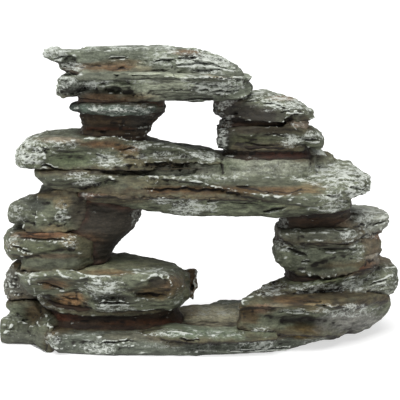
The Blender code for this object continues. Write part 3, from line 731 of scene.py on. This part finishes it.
# The right pillar's two foot slabs, resin castings bonded on to the base. The lower one is grey at its
# side and stained amber; the upper one overhangs it with a crumbling, dusted front edge.
stone(
    "foot_slab_low", "right_lower_slab", -48, 603, facets=(4, 1.2), calm=0.15, dip=0.05, weld=2.5,
    cracks=[(49, 28.5, 70, 28.5, 1.2, 2)],
    scoops=[(30, 27.5, 6, 5, 3), (60, 23.5, 16, 4, 2.5), (91, 23.5, 20, 8, -2.5)],
    ridges=[
        (28, 34.5, 35, 35.5, 39, 32.5), (53, 29.5, 63, 27.5, 82, 30, 91, 27.5),
        (88, 26.5, 104, 28.5, 112, 31),
    ],
    # The near-black mark in the hollow under its middle is painted shadow.
    stains=[
        (31, 27.5, 10, 8, BROWN, 0.95), (66, 34.5, 26, 6, (0.068, 0.054, 0.026), 0.9),
        (44, 32.5, 12, 4, (0.16, 0.15, 0.11), 0.6), (39, 30.5, 8, 4, (0.163, 0.0884, 0.0544), 0.6),
        (63, 23.5, 20, 3, (0.03, 0.028, 0.024), 0.9), (66, 17.5, 14, 4, (0.085, 0.058, 0.02), 0.9),
        (57, 36.5, 20, 3, (0.109, 0.0612, 0.0272), 0.7), (96, 22, 24, 9, (0.16, 0.16, 0.15), 0.95),
        (77, 32, 10, 4, TAN, 0.5),
    ],
    dusted=[
        (91, 29.5, 22, 5, 0.8), (63, 29.5, 16, 2.5, 0.5), (39, 16.5, 8, 4, 0.7), (108, 24.5, 8, 10, 0.3),
    ],
)
stone(
    "foot_slab_high", "right_upper_slab", -47, 633, facets=(12, 2.6), calm=0.3, layer=4.5, dip=0.06,
    split=[(41, 44, 14, 6), (113, 46, 12, 16)],
    cracks=[
        (53, 41.5, 70, 40, 2.6, 5), (70, 40.5, 92, 42.5, 2.4, 6), (63, 37, 91, 37.5, 2.0, 5),
        (105, 44.5, 118, 49.5, 1.6, 3), (96, 36, 111, 32, 1.5, 3), (104, 51.5, 115, 58, 1.8, 3),
    ],
    ridges=[
        (31, 38, 44, 44.5, 58, 51), (35, 38, 50, 46), (53, 43, 63, 45, 73, 42.5, 82, 44),
        (87, 47.5, 95, 46.5, 102, 49.5, 108, 55.5, 115, 60.5), (92, 46.5, 93, 42.5), (98, 47.5, 99, 43),
        (108, 46.5, 119, 52),
    ],
    crumbled=[(78, 42.5, 26, 3), (95, 46.5, 8, 5), (104, 35, 12, 6)],
    # The dark band along the lower front edge is painted shade under the lip.
    stains=[
        (63, 38, 30, 4, (0.045, 0.036, 0.018), 0.9), (74, 49, 26, 4, GREEN, 0.6),
        (107, 41.5, 14, 10, (0.17, 0.18, 0.15), 0.5), (113, 63, 9, 5, (0.17, 0.129, 0.0952), 0.6),
        (81, 53.5, 26, 3, (0.0884, 0.0578, 0.034), 0.6), (75, 35, 20, 3, (0.07, 0.053, 0.026), 0.7),
    ],
    dusted=[
        (43, 44, 14, 7, 0.8), (77, 44, 26, 4, 0.8), (96, 46.5, 9, 6, 1.0), (112, 46, 13, 16, 0.5),
        (104, 34, 14, 6, 0.8),
    ],
)

# The lower stone of the right pillar, with two open bedding cracks, and the thin slab that lies on it.
# Both are resin castings, bonded to each other and painted grey-green with chipped edges.
stone(
    "right_stone", "right_lower_stone", -32, 663, facets=(11, 2.6), calm=0.3, layer=4.0,
    split=[(97, 65, 10, 8), (53, 65, 7, 8)],
    cracks=[
        (53, 67.5, 69, 61, 2.4, 5), (75, 65, 100, 65.5, 2.4, 6), (64, 57, 71, 57, 1.6, 3),
        (83, 69.5, 95, 68.5, 1.2, 3),
    ],
    scoops=[(78, 54.5, 9, 3, 2.5), (53, 74, 5, 6, 1.5)],
    ridges=[
        (57, 71.5, 76, 71.5, 97, 71.5), (48, 69.5, 53, 65, 56, 69.5), (98, 67.5, 99, 60),
        (105, 69, 104, 64),
    ],
    crumbled=[(51, 69, 5, 6), (65, 69.5, 4, 2)],
    stains=[
        (78, 54.5, 10, 3.5, SHADOW_BLACK, 0.6), (109, 68.5, 6, 8, (0.13, 0.095, 0.065), 0.6),
        (92, 56, 18, 3, BROWN, 0.7), (78, 62.5, 24, 7, (0.16, 0.18, 0.135), 0.6),
    ],
    dusted=[(51, 69.5, 6, 8, 0.9), (99, 64, 8, 7, 0.5), (64, 65, 8, 8, 0.3), (64, 55.5, 8, 5, 0.3)],
)
stone(
    "right_thin_slab", "right_middle_slab", -32, 693, coat=((0.07, 0.075, 0.056), (0.12, 0.125, 0.095)),
    facets=(6, 1.6), calm=0.25, cracks=[(84, 79.5, 96, 76.5, 1.6, 3)],
    ridges=[(92, 78.5, 98, 77.5, 100, 74, 97, 71, 89, 70), (56, 71, 76, 71.5, 92, 71)],
    dusted=[(95, 74, 8, 5, 0.7)],
)

# The top stone of the right pillar, a resin casting bonded on to the thin slab. Its edge has come apart in
# pale leaves with dark splits between them.
stone(
    "right_head", "right_top_stone", -18, 723, coat=((0.1, 0.105, 0.09), (0.21, 0.22, 0.19)),
    facets=(8, 2.4), calm=0.8, layer=3.2, ledge=2.6, dip=0.12,
    cracks=[
        (98, 78, 109, 79, 2.2, 5), (88, 76.5, 102, 73.5, 1.6, 4), (102, 70, 115, 74, 2.0, 4),
        (111, 78, 120, 81, 1.4, 3),
    ],
    ridges=[
        (97, 80.5, 108, 81, 118, 84), (86, 78, 98, 77, 103, 72.5), (98, 87.5, 111, 87.5, 120, 85.5),
        (107, 68, 115, 73.5, 117, 76), (103, 66, 108, 68.5),
    ],
    stains=[(90, 80.5, 8, 4, (0.163, 0.116, 0.0748), 0.7), (115, 68.5, 5, 6, (0.15, 0.0816, 0.051), 0.8)],
    dusted=[(108, 84.5, 15, 6, 0.8), (107, 72, 12, 8, 0.5)],
)

# The red-brown putty between the slabs and the lower stone, and the dark core under the shelf's right end.
# Both are resin, packed in layers and hollowed like the putty under the boulder.
putty(
    "right_foot_joint", "right_joint", -21, 753, crumbled=[(103, 55, 16, 5)],
    stains=[
        (94, 51, 26, 4, (0.085, 0.036, 0.018), 0.9), (112, 61.5, 8, 12, (0.17, 0.15, 0.12), 0.95),
        (106, 53.5, 10, 3, (0.1, 0.055, 0.03), 0.8), (74, 51, 12, 4, SHADOW_BLACK, 0.7),
    ],
    dusted=[(112, 65.5, 6, 12, 0.6)],
)
putty(
    "right_pillar_core", "right_core", -21, 783, coat=((0.018, 0.015, 0.011), (0.05, 0.041, 0.028)),
    calm=0.9, crumbled=[(52, 77, 5, 12)],
    stains=[
        (80, 81.5, 26, 2.5, (0.055, 0.028, 0.015), 0.7), (71, 76.5, 20, 2.5, (0.07, 0.055, 0.035), 0.6),
    ],
    dusted=[(52, 77, 5, 14, 1.0)],
)

# The shelf's lowest leaf, the roof of the cave, cast in resin and bonded to both pillars. A pale crumbling
# patch stands out near its left end, and the lower edge is chipped white.
stone(
    "shelf_low", "shelf_lower_leaf", -45, 803, facets=(12, 2.6), calm=0.2, layer=4.0, dip=-0.05,
    split=[(75, 97, 22, 8), (-81, 115.5, 10, 5)],
    cracks=[
        (39, 92, 54, 94.5, 1.8, 5), (62, 98.5, 76, 100, 1.8, 5), (62, 95, 76, 96.5, 1.6, 4),
        (4, 98.5, 12, 99, 1.5, 4), (17, 97.5, 37, 97, 1.0, 2),
    ],
    scoops=[(-70, 110.5, 10, 7, -1.6), (-19, 95, 16, 5, 1.5)],
    ridges=[
        (-77, 114.5, -79, 111, -76, 106.5, -73, 103), (-30, 103, -24, 99.5, -15, 97.5, -6, 97.5, 6, 96.5),
        (-12, 92, -9, 96.5, -6, 92), (-71, 114, -62, 112), (-68, 104.5, -63, 106.5),
        (31, 100, 39, 102, 50, 101), (85, 99.5, 85, 92),
    ],
    crumbled=[(-70, 111, 9, 7), (-7, 94.5, 10, 5), (6, 95, 7, 4)],
    stains=[
        (-78, 102, 20, 4, (0.09, 0.045, 0.028), 0.9), (-50, 99.5, 24, 3, (0.0884, 0.068, 0.0408), 0.7),
        (16, 103, 60, 2, (0.12, 0.08, 0.04), 0.7), (56, 96.5, 10, 4, TAN, 0.35),
        (25, 94.5, 44, 5, (0.18, 0.205, 0.14), 0.75), (40, 98.5, 14, 4, GREEN, 0.6),
    ],
    dusted=[
        (-70, 110.5, 12, 9, 1.0), (-7, 94.5, 14, 6, 1.0), (7, 95, 8, 4, 0.8), (81, 96, 14, 7, 0.7),
        (-25, 99.5, 9, 4, 0.7), (-87, 114.5, 10, 4, 0.4),
    ],
)

# The middle leaf, the widest, cast in resin and bonded on to the lowest. Its top is brushed pale in long
# wisps, a rusty groove runs along its face, and the right end has frayed.
stone(
    "shelf_middle", "shelf_middle_leaf", -48, 833, facets=(12, 2.4), calm=0.2, layer=3.8, dip=-0.03,
    split=[(93, 110, 20, 14), (-86, 120, 12, 6)],
    cracks=[
        (22, 109, 53, 104.5, 2.2, 5), (-37, 106.5, 26, 106.5, 1.8, 4), (38, 104.5, 69, 107, 1.5, 3),
        (-63, 117.5, 11, 120, 6.0, 7), (78, 102.5, 88, 102, 1.8, 5), (80, 115, 100, 112.5, 1.6, 3),
        (89, 109, 103, 106.5, 1.6, 4),
    ],
    scoops=[(9, 106.5, 65, 3.6, 1.8), (41, 126, 60, 11, -6.0)],
    ridges=[
        (27, 114.5, 38, 114.5, 53, 114, 65, 112.5), (-15, 113.5, 0, 114, 25, 114),
        (38, 123.5, 49, 119, 59, 114.5), (62, 122, 80, 119), (68, 115, 84, 114.5, 94, 117),
        (73, 112.5, 90, 111, 103, 110), (87, 107.5, 88, 102), (84, 101.5, 84, 96.5), (93, 109, 90, 102.5),
        (96, 122, 103, 114), (-31, 124.5, -12, 125), (36, 101, 43, 102, 62, 104.5),
    ],
    crumbled=[(100, 110, 8, 8)],
    stains=[
        (-15, 106.5, 30, 3, (0.075, 0.04, 0.016), 0.95), (19, 106.5, 40, 3.2, (0.06, 0.037, 0.016), 0.95),
        (53, 106, 26, 3.4, (0.11, 0.068, 0.034), 0.8), (-31, 111.5, 22, 4, (0.0884, 0.0788, 0.045), 0.7),
        (31, 121.5, 62, 8, (0.22, 0.235, 0.19), 0.9), (43, 111, 26, 3, (0.07, 0.075, 0.055), 0.7),
        (15, 121.5, 14, 4, GREEN, 0.5), (-12, 119.5, 45, 3, SHADOW_BLACK, 0.6), (68, 108.5, 7, 4, TAN, 0.5),
        (62, 126.5, 8, 3, BROWN, 0.7),
    ],
    dusted=[
        (49, 119, 45, 6, 0.35), (87, 116, 22, 10, 0.9), (97, 106.5, 10, 10, 0.9), (83, 100, 9, 9, 0.7),
        (3, 114.5, 36, 3, 0.6), (-72, 114, 14, 6, 0.7), (68, 112.5, 14, 3, 0.7),
    ],
)

# The upper leaf, cast in resin, bonded on to the middle one and ending at the left in a crumbled knob.
# Rust lies on its top, and white ridges cross its face.
stone(
    "shelf_high", "shelf_upper_leaf", -44, 863, facets=(11, 2.4), calm=0.2, layer=3.6, dip=-0.06,
    split=[(-46, 126, 14, 5), (-105, 129.5, 14, 10)],
    cracks=[
        (-65, 128.5, -57, 126, 1.6, 3), (-51, 131, -40, 132.5, 1.5, 3), (-48, 126, -33, 127, 1.8, 4),
        (-99, 121, -88, 119, 2.2, 5), (-56, 118.5, 11, 120, 4.5, 8),
    ],
    scoops=[(-82, 124.5, 14, 6, 1.2), (-95, 132.5, 3, 6, 2.0)],
    ridges=[
        (-63, 127.5, -58, 124.5, -55, 121.5), (-58, 124, -51, 126, -46, 126.5), (-71, 129, -63, 127),
        (-94, 131, -89, 129, -84, 129), (-95, 129.5, -98, 126, -97, 122.5),
        (-43, 135, -37, 134.5, -33, 131.5), (-62, 121, -55, 121, -50, 119.5), (-31, 134.5, -25, 134.5),
        (-50, 119.5, -34, 121),
    ],
    crumbled=[(-107, 129, 14, 13), (3, 126, 10, 5)],
    stains=[
        (-60, 135, 14, 2.6, RUST, 0.95), (-45, 131.5, 9, 3, (0.13, 0.075, 0.035), 0.9),
        (-87, 137.5, 16, 2, (0.258, 0.214, 0.163), 0.8), (-45, 127, 8, 3, TAN, 0.6),
        (-81, 124.5, 16, 6, GREEN, 0.6), (-40, 123.5, 8, 3, TAN, 0.4),
        (-49, 137.5, 22, 2, (0.1, 0.09, 0.06), 0.6),
    ],
    dusted=[
        (-107, 129, 13, 12, 1.0), (-88, 134, 12, 4, 0.7), (-56, 124.5, 12, 6, 0.7),
        (-38, 133.5, 9, 4, 0.8), (-12, 127.5, 30, 4, 0.6), (5, 127, 9, 5, 0.8),
    ],
)

# The flake behind the window's right pillar, a thin resin casting bonded to the back of the shelf. It is
# painted paler than the leaves.
stone(
    "shelf_flake", "shelf_rear_flake", 0, 893, coat=((0.15, 0.17, 0.14), (0.27, 0.29, 0.26)),
    facets=(6, 1.8), calm=0.6, layer=2.8, ridges=[(73, 124.5, 81, 122, 86, 117)],
    dusted=[(81, 119.5, 9, 6, 0.9)],
)

# The window's left pillar: two necks of banded brown putty, packed in thin layers, with a lens of crackled
# slate let in between them. The slate is a resin casting, bonded by the putty.
putty(
    "left_neck_low", "left_lower_neck", -19, 903, coat=((0.022, 0.017, 0.011), (0.075, 0.052, 0.032)),
    calm=1.0, layer=3.0, ledge=1.8,
    stains=[
        (-57, 145.5, 20, 1.6, (0.0884, 0.062, 0.0374), 0.8),
        (-60, 141, 22, 1.2, (0.075, 0.03, 0.017), 0.8), (-57, 138.5, 22, 1.4, (0.1, 0.07, 0.042), 0.6),
        (-38, 145.5, 8, 7, (0.035, 0.033, 0.028), 0.6),
    ],
    dusted=[(-76, 141.5, 3, 8, 0.7), (-32, 151.5, 6, 5, 0.5)],
)
stone(
    "neck_lens", "neck_plate", -31, 933, coat=((0.04, 0.052, 0.045), (0.09, 0.12, 0.1)), facets=(6, 1.4),
    calm=0.4, layer=3.0,
    ridges=[
        (-72, 157.5, -62, 158, -51, 157.5, -41, 158, -34, 158, -29, 156),
        (-71, 155, -63, 152.5, -50, 150.5, -41, 150, -35, 153), (-69, 157.5, -65, 154.5),
        (-51, 157.5, -49, 154.5, -52, 151), (-41, 157.5, -38, 155),
    ],
    dusted=[(-51, 154.5, 26, 5, 0.6), (-34, 156, 7, 4, 0.6)],
)
putty(
    "left_neck_high", "left_upper_neck", -24, 963, coat=((0.05, 0.032, 0.022), (0.12, 0.08, 0.055)),
    calm=0.9, layer=3.0, ledge=1.6,
    stains=[
        (-38, 162.5, 10, 1.8, (0.286, 0.163, 0.0748), 0.9),
        (-57, 160.5, 22, 2, (0.109, 0.068, 0.0476), 0.7), (-66, 163, 14, 2.5, SHADOW_BLACK, 0.6),
    ],
)

# The window's right pillar, from the shelf up: a dark joint, the crackled foot slab, a pale pebble, the
# wedge that roofs it, and between them dark putty whose side towards the window is pitted and speckled.
# The stones are resin castings, and the putty bonds them.
putty(
    "window_foot_joint", "foot_joint", -22, 993, coat=((0.012, 0.009, 0.006), (0.034, 0.022, 0.014)),
    wash=(0.02, 0.014, 0.009), calm=0.9, stains=[(51, 125, 22, 2.5, (0.045, 0.016, 0.01), 0.8)],
    dusted=[(15, 129, 5, 4, 0.7)],
)
stone(
    "window_foot", "foot_slab", -31, 1003, facets=(5, 1.6), calm=0.25, layer=3.6, sink=3.0,
    cracks=[(62, 136.5, 76, 135, 1.4, 3), (28, 133.5, 48, 131.5, 1.2, 3), (39, 139, 56, 138, 1.0, 2)],
    ridges=[
        (51, 139, 53, 135.5, 51, 133), (57, 135, 62, 135.5, 63, 131.5, 60, 131),
        (66, 138.5, 74, 139, 77, 136), (67, 133.5, 73, 133.5, 77, 135.5),
    ],
    crumbled=[(14, 136.5, 4, 12)],
    stains=[
        (31, 135.5, 18, 5, (0.075, 0.078, 0.042), 0.8), (34, 141.5, 32, 4, (0.035, 0.029, 0.018), 1.0),
        (15, 136.5, 6, 13, SHADOW_BLACK, 0.9),
    ],
    dusted=[(58, 135.5, 8, 5, 0.8), (71, 138, 8, 4, 0.8), (14, 136.5, 4, 13, 0.9)],
)
stone(
    "small_pebble", "pebble", -20, 1023, coat=((0.11, 0.09, 0.07), (0.26, 0.215, 0.18)), facets=(4, 1.0),
    calm=0.5, layer=2.4, dusted=[(62, 142.5, 5, 5, 0.6)],
)
stone(
    "wedge", "wedge_stone", -30, 1053, facets=(8, 2.0), calm=0.6, layer=3.0, split=[(56, 157.5, 18, 8)],
    cracks=[(39, 158, 56, 155.5, 1.6, 4), (50, 153, 66, 153, 1.4, 4), (28, 160.5, 39, 160, 1.2, 3)],
    scoops=[(39, 150, 24, 9, 9)],
    ridges=[
        (27, 165, 39, 165.5, 50, 163), (39, 155.5, 48, 156.5, 56, 153, 64, 151),
        (53, 162.5, 63, 158, 70, 153), (21, 161, 29, 163),
    ],
    # The near-black mark over the big hollow under the wedge is painted shadow.
    stains=[
        (52, 161.5, 9, 2, (0.204, 0.129, 0.0816), 0.8), (25, 158, 8, 4, (0.06, 0.055, 0.05), 0.6),
        (36, 151, 31, 6.5, (0.022, 0.019, 0.014), 1.0), (18, 158, 5, 10, SHADOW_BLACK, 0.9),
    ],
    dusted=[(53, 158.5, 17, 6, 0.9), (31, 163, 12, 4, 0.8)],
)
putty(
    "window_neck", "right_neck", -16, 1083, coat=((0.022, 0.016, 0.012), (0.085, 0.05, 0.03)), calm=1.0,
    layer=2.8, crumbled=[(17, 143, 5, 14)],
    stains=[(37, 147.5, 22, 5, SHADOW_BLACK, 0.8), (41, 142.5, 14, 2.5, (0.07, 0.045, 0.025), 0.8)],
    dusted=[(16, 143.5, 5, 16, 1.0)],
)
putty(
    "cap_joint", "cap_seat", -16, 1103, coat=((0.035, 0.033, 0.03), (0.1, 0.1, 0.095)), calm=1.0,
    layer=2.8, crumbled=[(17, 156, 8, 10)], dusted=[(17, 156.5, 9, 12, 1.0)],
)

# The cap: two resin leaves, bonded so that they read as one thick slab, with a chip caught in the notch at
# the left. The upper leaf's left tip is thin and pale, rust bands its face, and the right end is frayed
# into leaves.
# The cap's coat is paler than the lower stones': partly its own paler paint, partly a painted highlight for
# the stronger light at the top.
cap_work = dict(
    coat=((0.1, 0.112, 0.088), (0.195, 0.218, 0.172)), wash=(0.08, 0.085, 0.065), seam=0.1,
    facets=(11, 2.4), calm=0.25,
)
stone(
    "cap_low", "cap_lower_leaf", -41, 1203, layer=3.2, ledge=2.8, dip=-0.06, weld=6.0,
    split=[(9, 171.5, 20, 12), (-79, 171, 12, 6)],
    cracks=[
        (-19, 168, -10, 168.5, 1.4, 4), (-2, 167, 6, 168, 1.6, 4), (3, 176.5, 25, 174, 1.8, 4),
        (-5, 172.5, 20, 169, 1.8, 4), (-11, 161.5, 9, 162, 1.4, 4), (-2, 179, 22, 177.5, 1.6, 5),
        (7, 166.5, 25, 168, 1.4, 4),
    ],
    scoops=[(-22, 171.5, 18, 6, -1.6), (-60, 162, 33, 9, 10), (4, 166.5, 8, 5, -1.2)],
    ridges=[
        (-67, 170.5, -59, 171.5, -54, 174, -52, 176.5), (-87, 175, -83, 174),
        (-16, 180, -10, 179, -4, 177.5), (-6, 174, -1, 176, 5, 174.5, 12, 176),
        (-20, 164, -17, 168, -11, 169, -6, 171.5), (-5, 169, -5, 164.5, 0, 162, 7, 162),
        (-2, 179, 9, 177, 22, 172.5), (6, 170.5, 15, 171.5, 22, 174),
    ],
    crumbled=[(-85, 170.5, 8, 7), (15, 168, 8, 6)],
    # The dark grey mark under the left half is painted shadow in the hollow carved under the overhang.
    stains=[
        (-59, 166.5, 32, 3, (0.055, 0.05, 0.036), 0.9), (-58, 163, 30, 3, (0.115, 0.072, 0.04), 1.0),
        (-36, 164.5, 9, 1.8, (0.24, 0.15, 0.068), 0.8), (-28, 172, 32, 9, (0.36, 0.39, 0.31), 0.9),
        (-43, 171.5, 10, 5, GREEN, 0.4), (11, 177.5, 9, 2.5, TAN, 0.8),
        (-78, 169, 12, 6, (0.09, 0.1, 0.092), 0.6),
    ],
    dusted=[
        (-75, 172.5, 15, 5, 0.7), (3, 172.5, 14, 9, 0.8), (17, 172.5, 12, 8, 0.9), (-57, 174, 8, 4, 0.8),
        (-37, 174, 14, 6, 0.5),
    ],
    **cap_work,
)
stone(
    "cap_high", "cap_upper_leaf", -39, 1233, layer=3.0, ledge=3.2, dip=-0.08, weld=2.5, sink=3.0,
    split=[(3, 186, 28, 9), (-91, 191, 12, 6)],
    cracks=[
        (-57, 186, -44, 186.5, 1.3, 3), (-59, 181, -43, 181, 1.4, 4), (-30, 185, -14, 186, 1.2, 4),
        (-31, 178.5, -18, 180.5, 1.2, 3), (-15, 183.5, 7, 182.5, 1.8, 5), (-15, 188, 4, 186, 1.6, 4),
        (-5, 180, 16, 180, 1.6, 5), (-90, 186.5, -82, 188, 1.6, 3), (-10, 186, 15, 182.5, 1.4, 4),
        (4, 183.5, 25, 180, 1.5, 4), (5, 188, 20, 184.5, 1.3, 4),
    ],
    scoops=[(-57, 181, 20, 4, 1.6), (-80, 184.5, 5, 5, 3), (-51, 177.5, 34, 5, -3.0)],
    ridges=[
        (-93, 194.5, -86, 194.5, -79, 196, -69, 196.5), (-97, 190.5, -89, 188, -83, 186, -80, 183),
        (-48, 194, -44, 191.5, -44, 188.5, -47, 186), (-25, 184.5, -20, 183, -12, 184.5, -6, 183),
        (-61, 197, -37, 197.5, -18, 194.5), (-20, 193.5, -17, 190, -14, 188.5), (-71, 185, -64, 183.5),
    ],
    crumbled=[(-93, 191.5, 9, 5), (0, 190, 14, 5)],
    stains=[
        (-65, 182, 14, 3, (0.13, 0.075, 0.038), 0.9), (-51, 182, 12, 3, (0.13, 0.068, 0.03), 0.9),
        (-47, 185, 12, 2, (0.17, 0.125, 0.0748), 0.7), (-10, 191, 11, 2, (0.16, 0.1, 0.06), 0.8),
        (-7, 188.5, 8, 2, (0.03, 0.022, 0.016), 0.8), (-81, 183.5, 5, 4, SHADOW_BLACK, 0.7),
        (-63, 187.5, 16, 6, (0.1, 0.115, 0.09), 0.5), (-37, 181, 9, 3, TAN, 0.4),
    ],
    dusted=[
        (-91, 191.5, 13, 6, 1.0), (-46, 194.5, 44, 4, 0.6), (-25, 187.5, 16, 7, 0.6),
        (7, 185, 22, 8, 0.9), (-78, 180, 8, 6, 0.7), (-18, 191, 6, 5, 0.7),
    ],
    **cap_work,
)
stone(
    "notch_chip", "cap_chip", -25, 1263, coat=((0.02, 0.02, 0.018), (0.07, 0.075, 0.07)), facets=(4, 1.2),
    calm=0.9, layer=2.4, dusted=[(-83, 182.5, 4, 4, 0.7)],
)

# The studio: a pale floor that runs out of sight, a soft sun from above and a white surround. The camera
# stands at the eye that the cracks and stains were set out from.
bpy.ops.object.select_all(action="DESELECT")
bpy.ops.mesh.primitive_plane_add(size=60)
floor = bpy.context.object
floor.name = "floor"
floor_paint = bpy.data.materials.new("floor_paint")
floor_paint.use_nodes = True
floor_surface = floor_paint.node_tree.nodes["Principled BSDF"]
floor_looks = {
    "Base Color": (0.5, 0.5, 0.5, 1), "Roughness": 0.9, "Specular IOR Level": 0,
    "Emission Color": (1, 1, 1, 1), "Emission Strength": 0.62,
}
for key, value in floor_looks.items():
    floor_surface.inputs[key].default_value = value
floor.data.materials.append(floor_paint)

world = bpy.data.worlds.new("surround")
bpy.context.scene.world = world
world.use_nodes = True
world.node_tree.nodes["Background"].inputs["Color"].default_value = (1, 1, 1, 1)
world.node_tree.nodes["Background"].inputs["Strength"].default_value = 0.4

sun_data = bpy.data.lights.new("soft_sun", "SUN")
sun_data.energy = 3.6
sun_data.angle = math.radians(50)
sun = bpy.data.objects.new("soft_sun", sun_data)
sun.rotation_euler = Vector((0.15, 0.45, -1)).to_track_quat("-Z", "Y").to_euler()
bpy.context.scene.collection.objects.link(sun)

MIDDLE = Vector((0, 0, 0.0917))  # the middle of the ornament's height as the camera sees it
camera_data = bpy.data.cameras.new("camera")
camera_data.sensor_width = 36
camera_data.lens = 125.5
camera = bpy.data.objects.new("camera", camera_data)
camera.location = (0, -EYE_BACK * MM, EYE_UP * MM)
camera.rotation_euler = (MIDDLE - camera.location).to_track_quat("-Z", "Y").to_euler()
bpy.context.scene.collection.objects.link(camera)
bpy.context.scene.camera = camera
bpy.context.scene.view_settings.view_transform = "Standard"
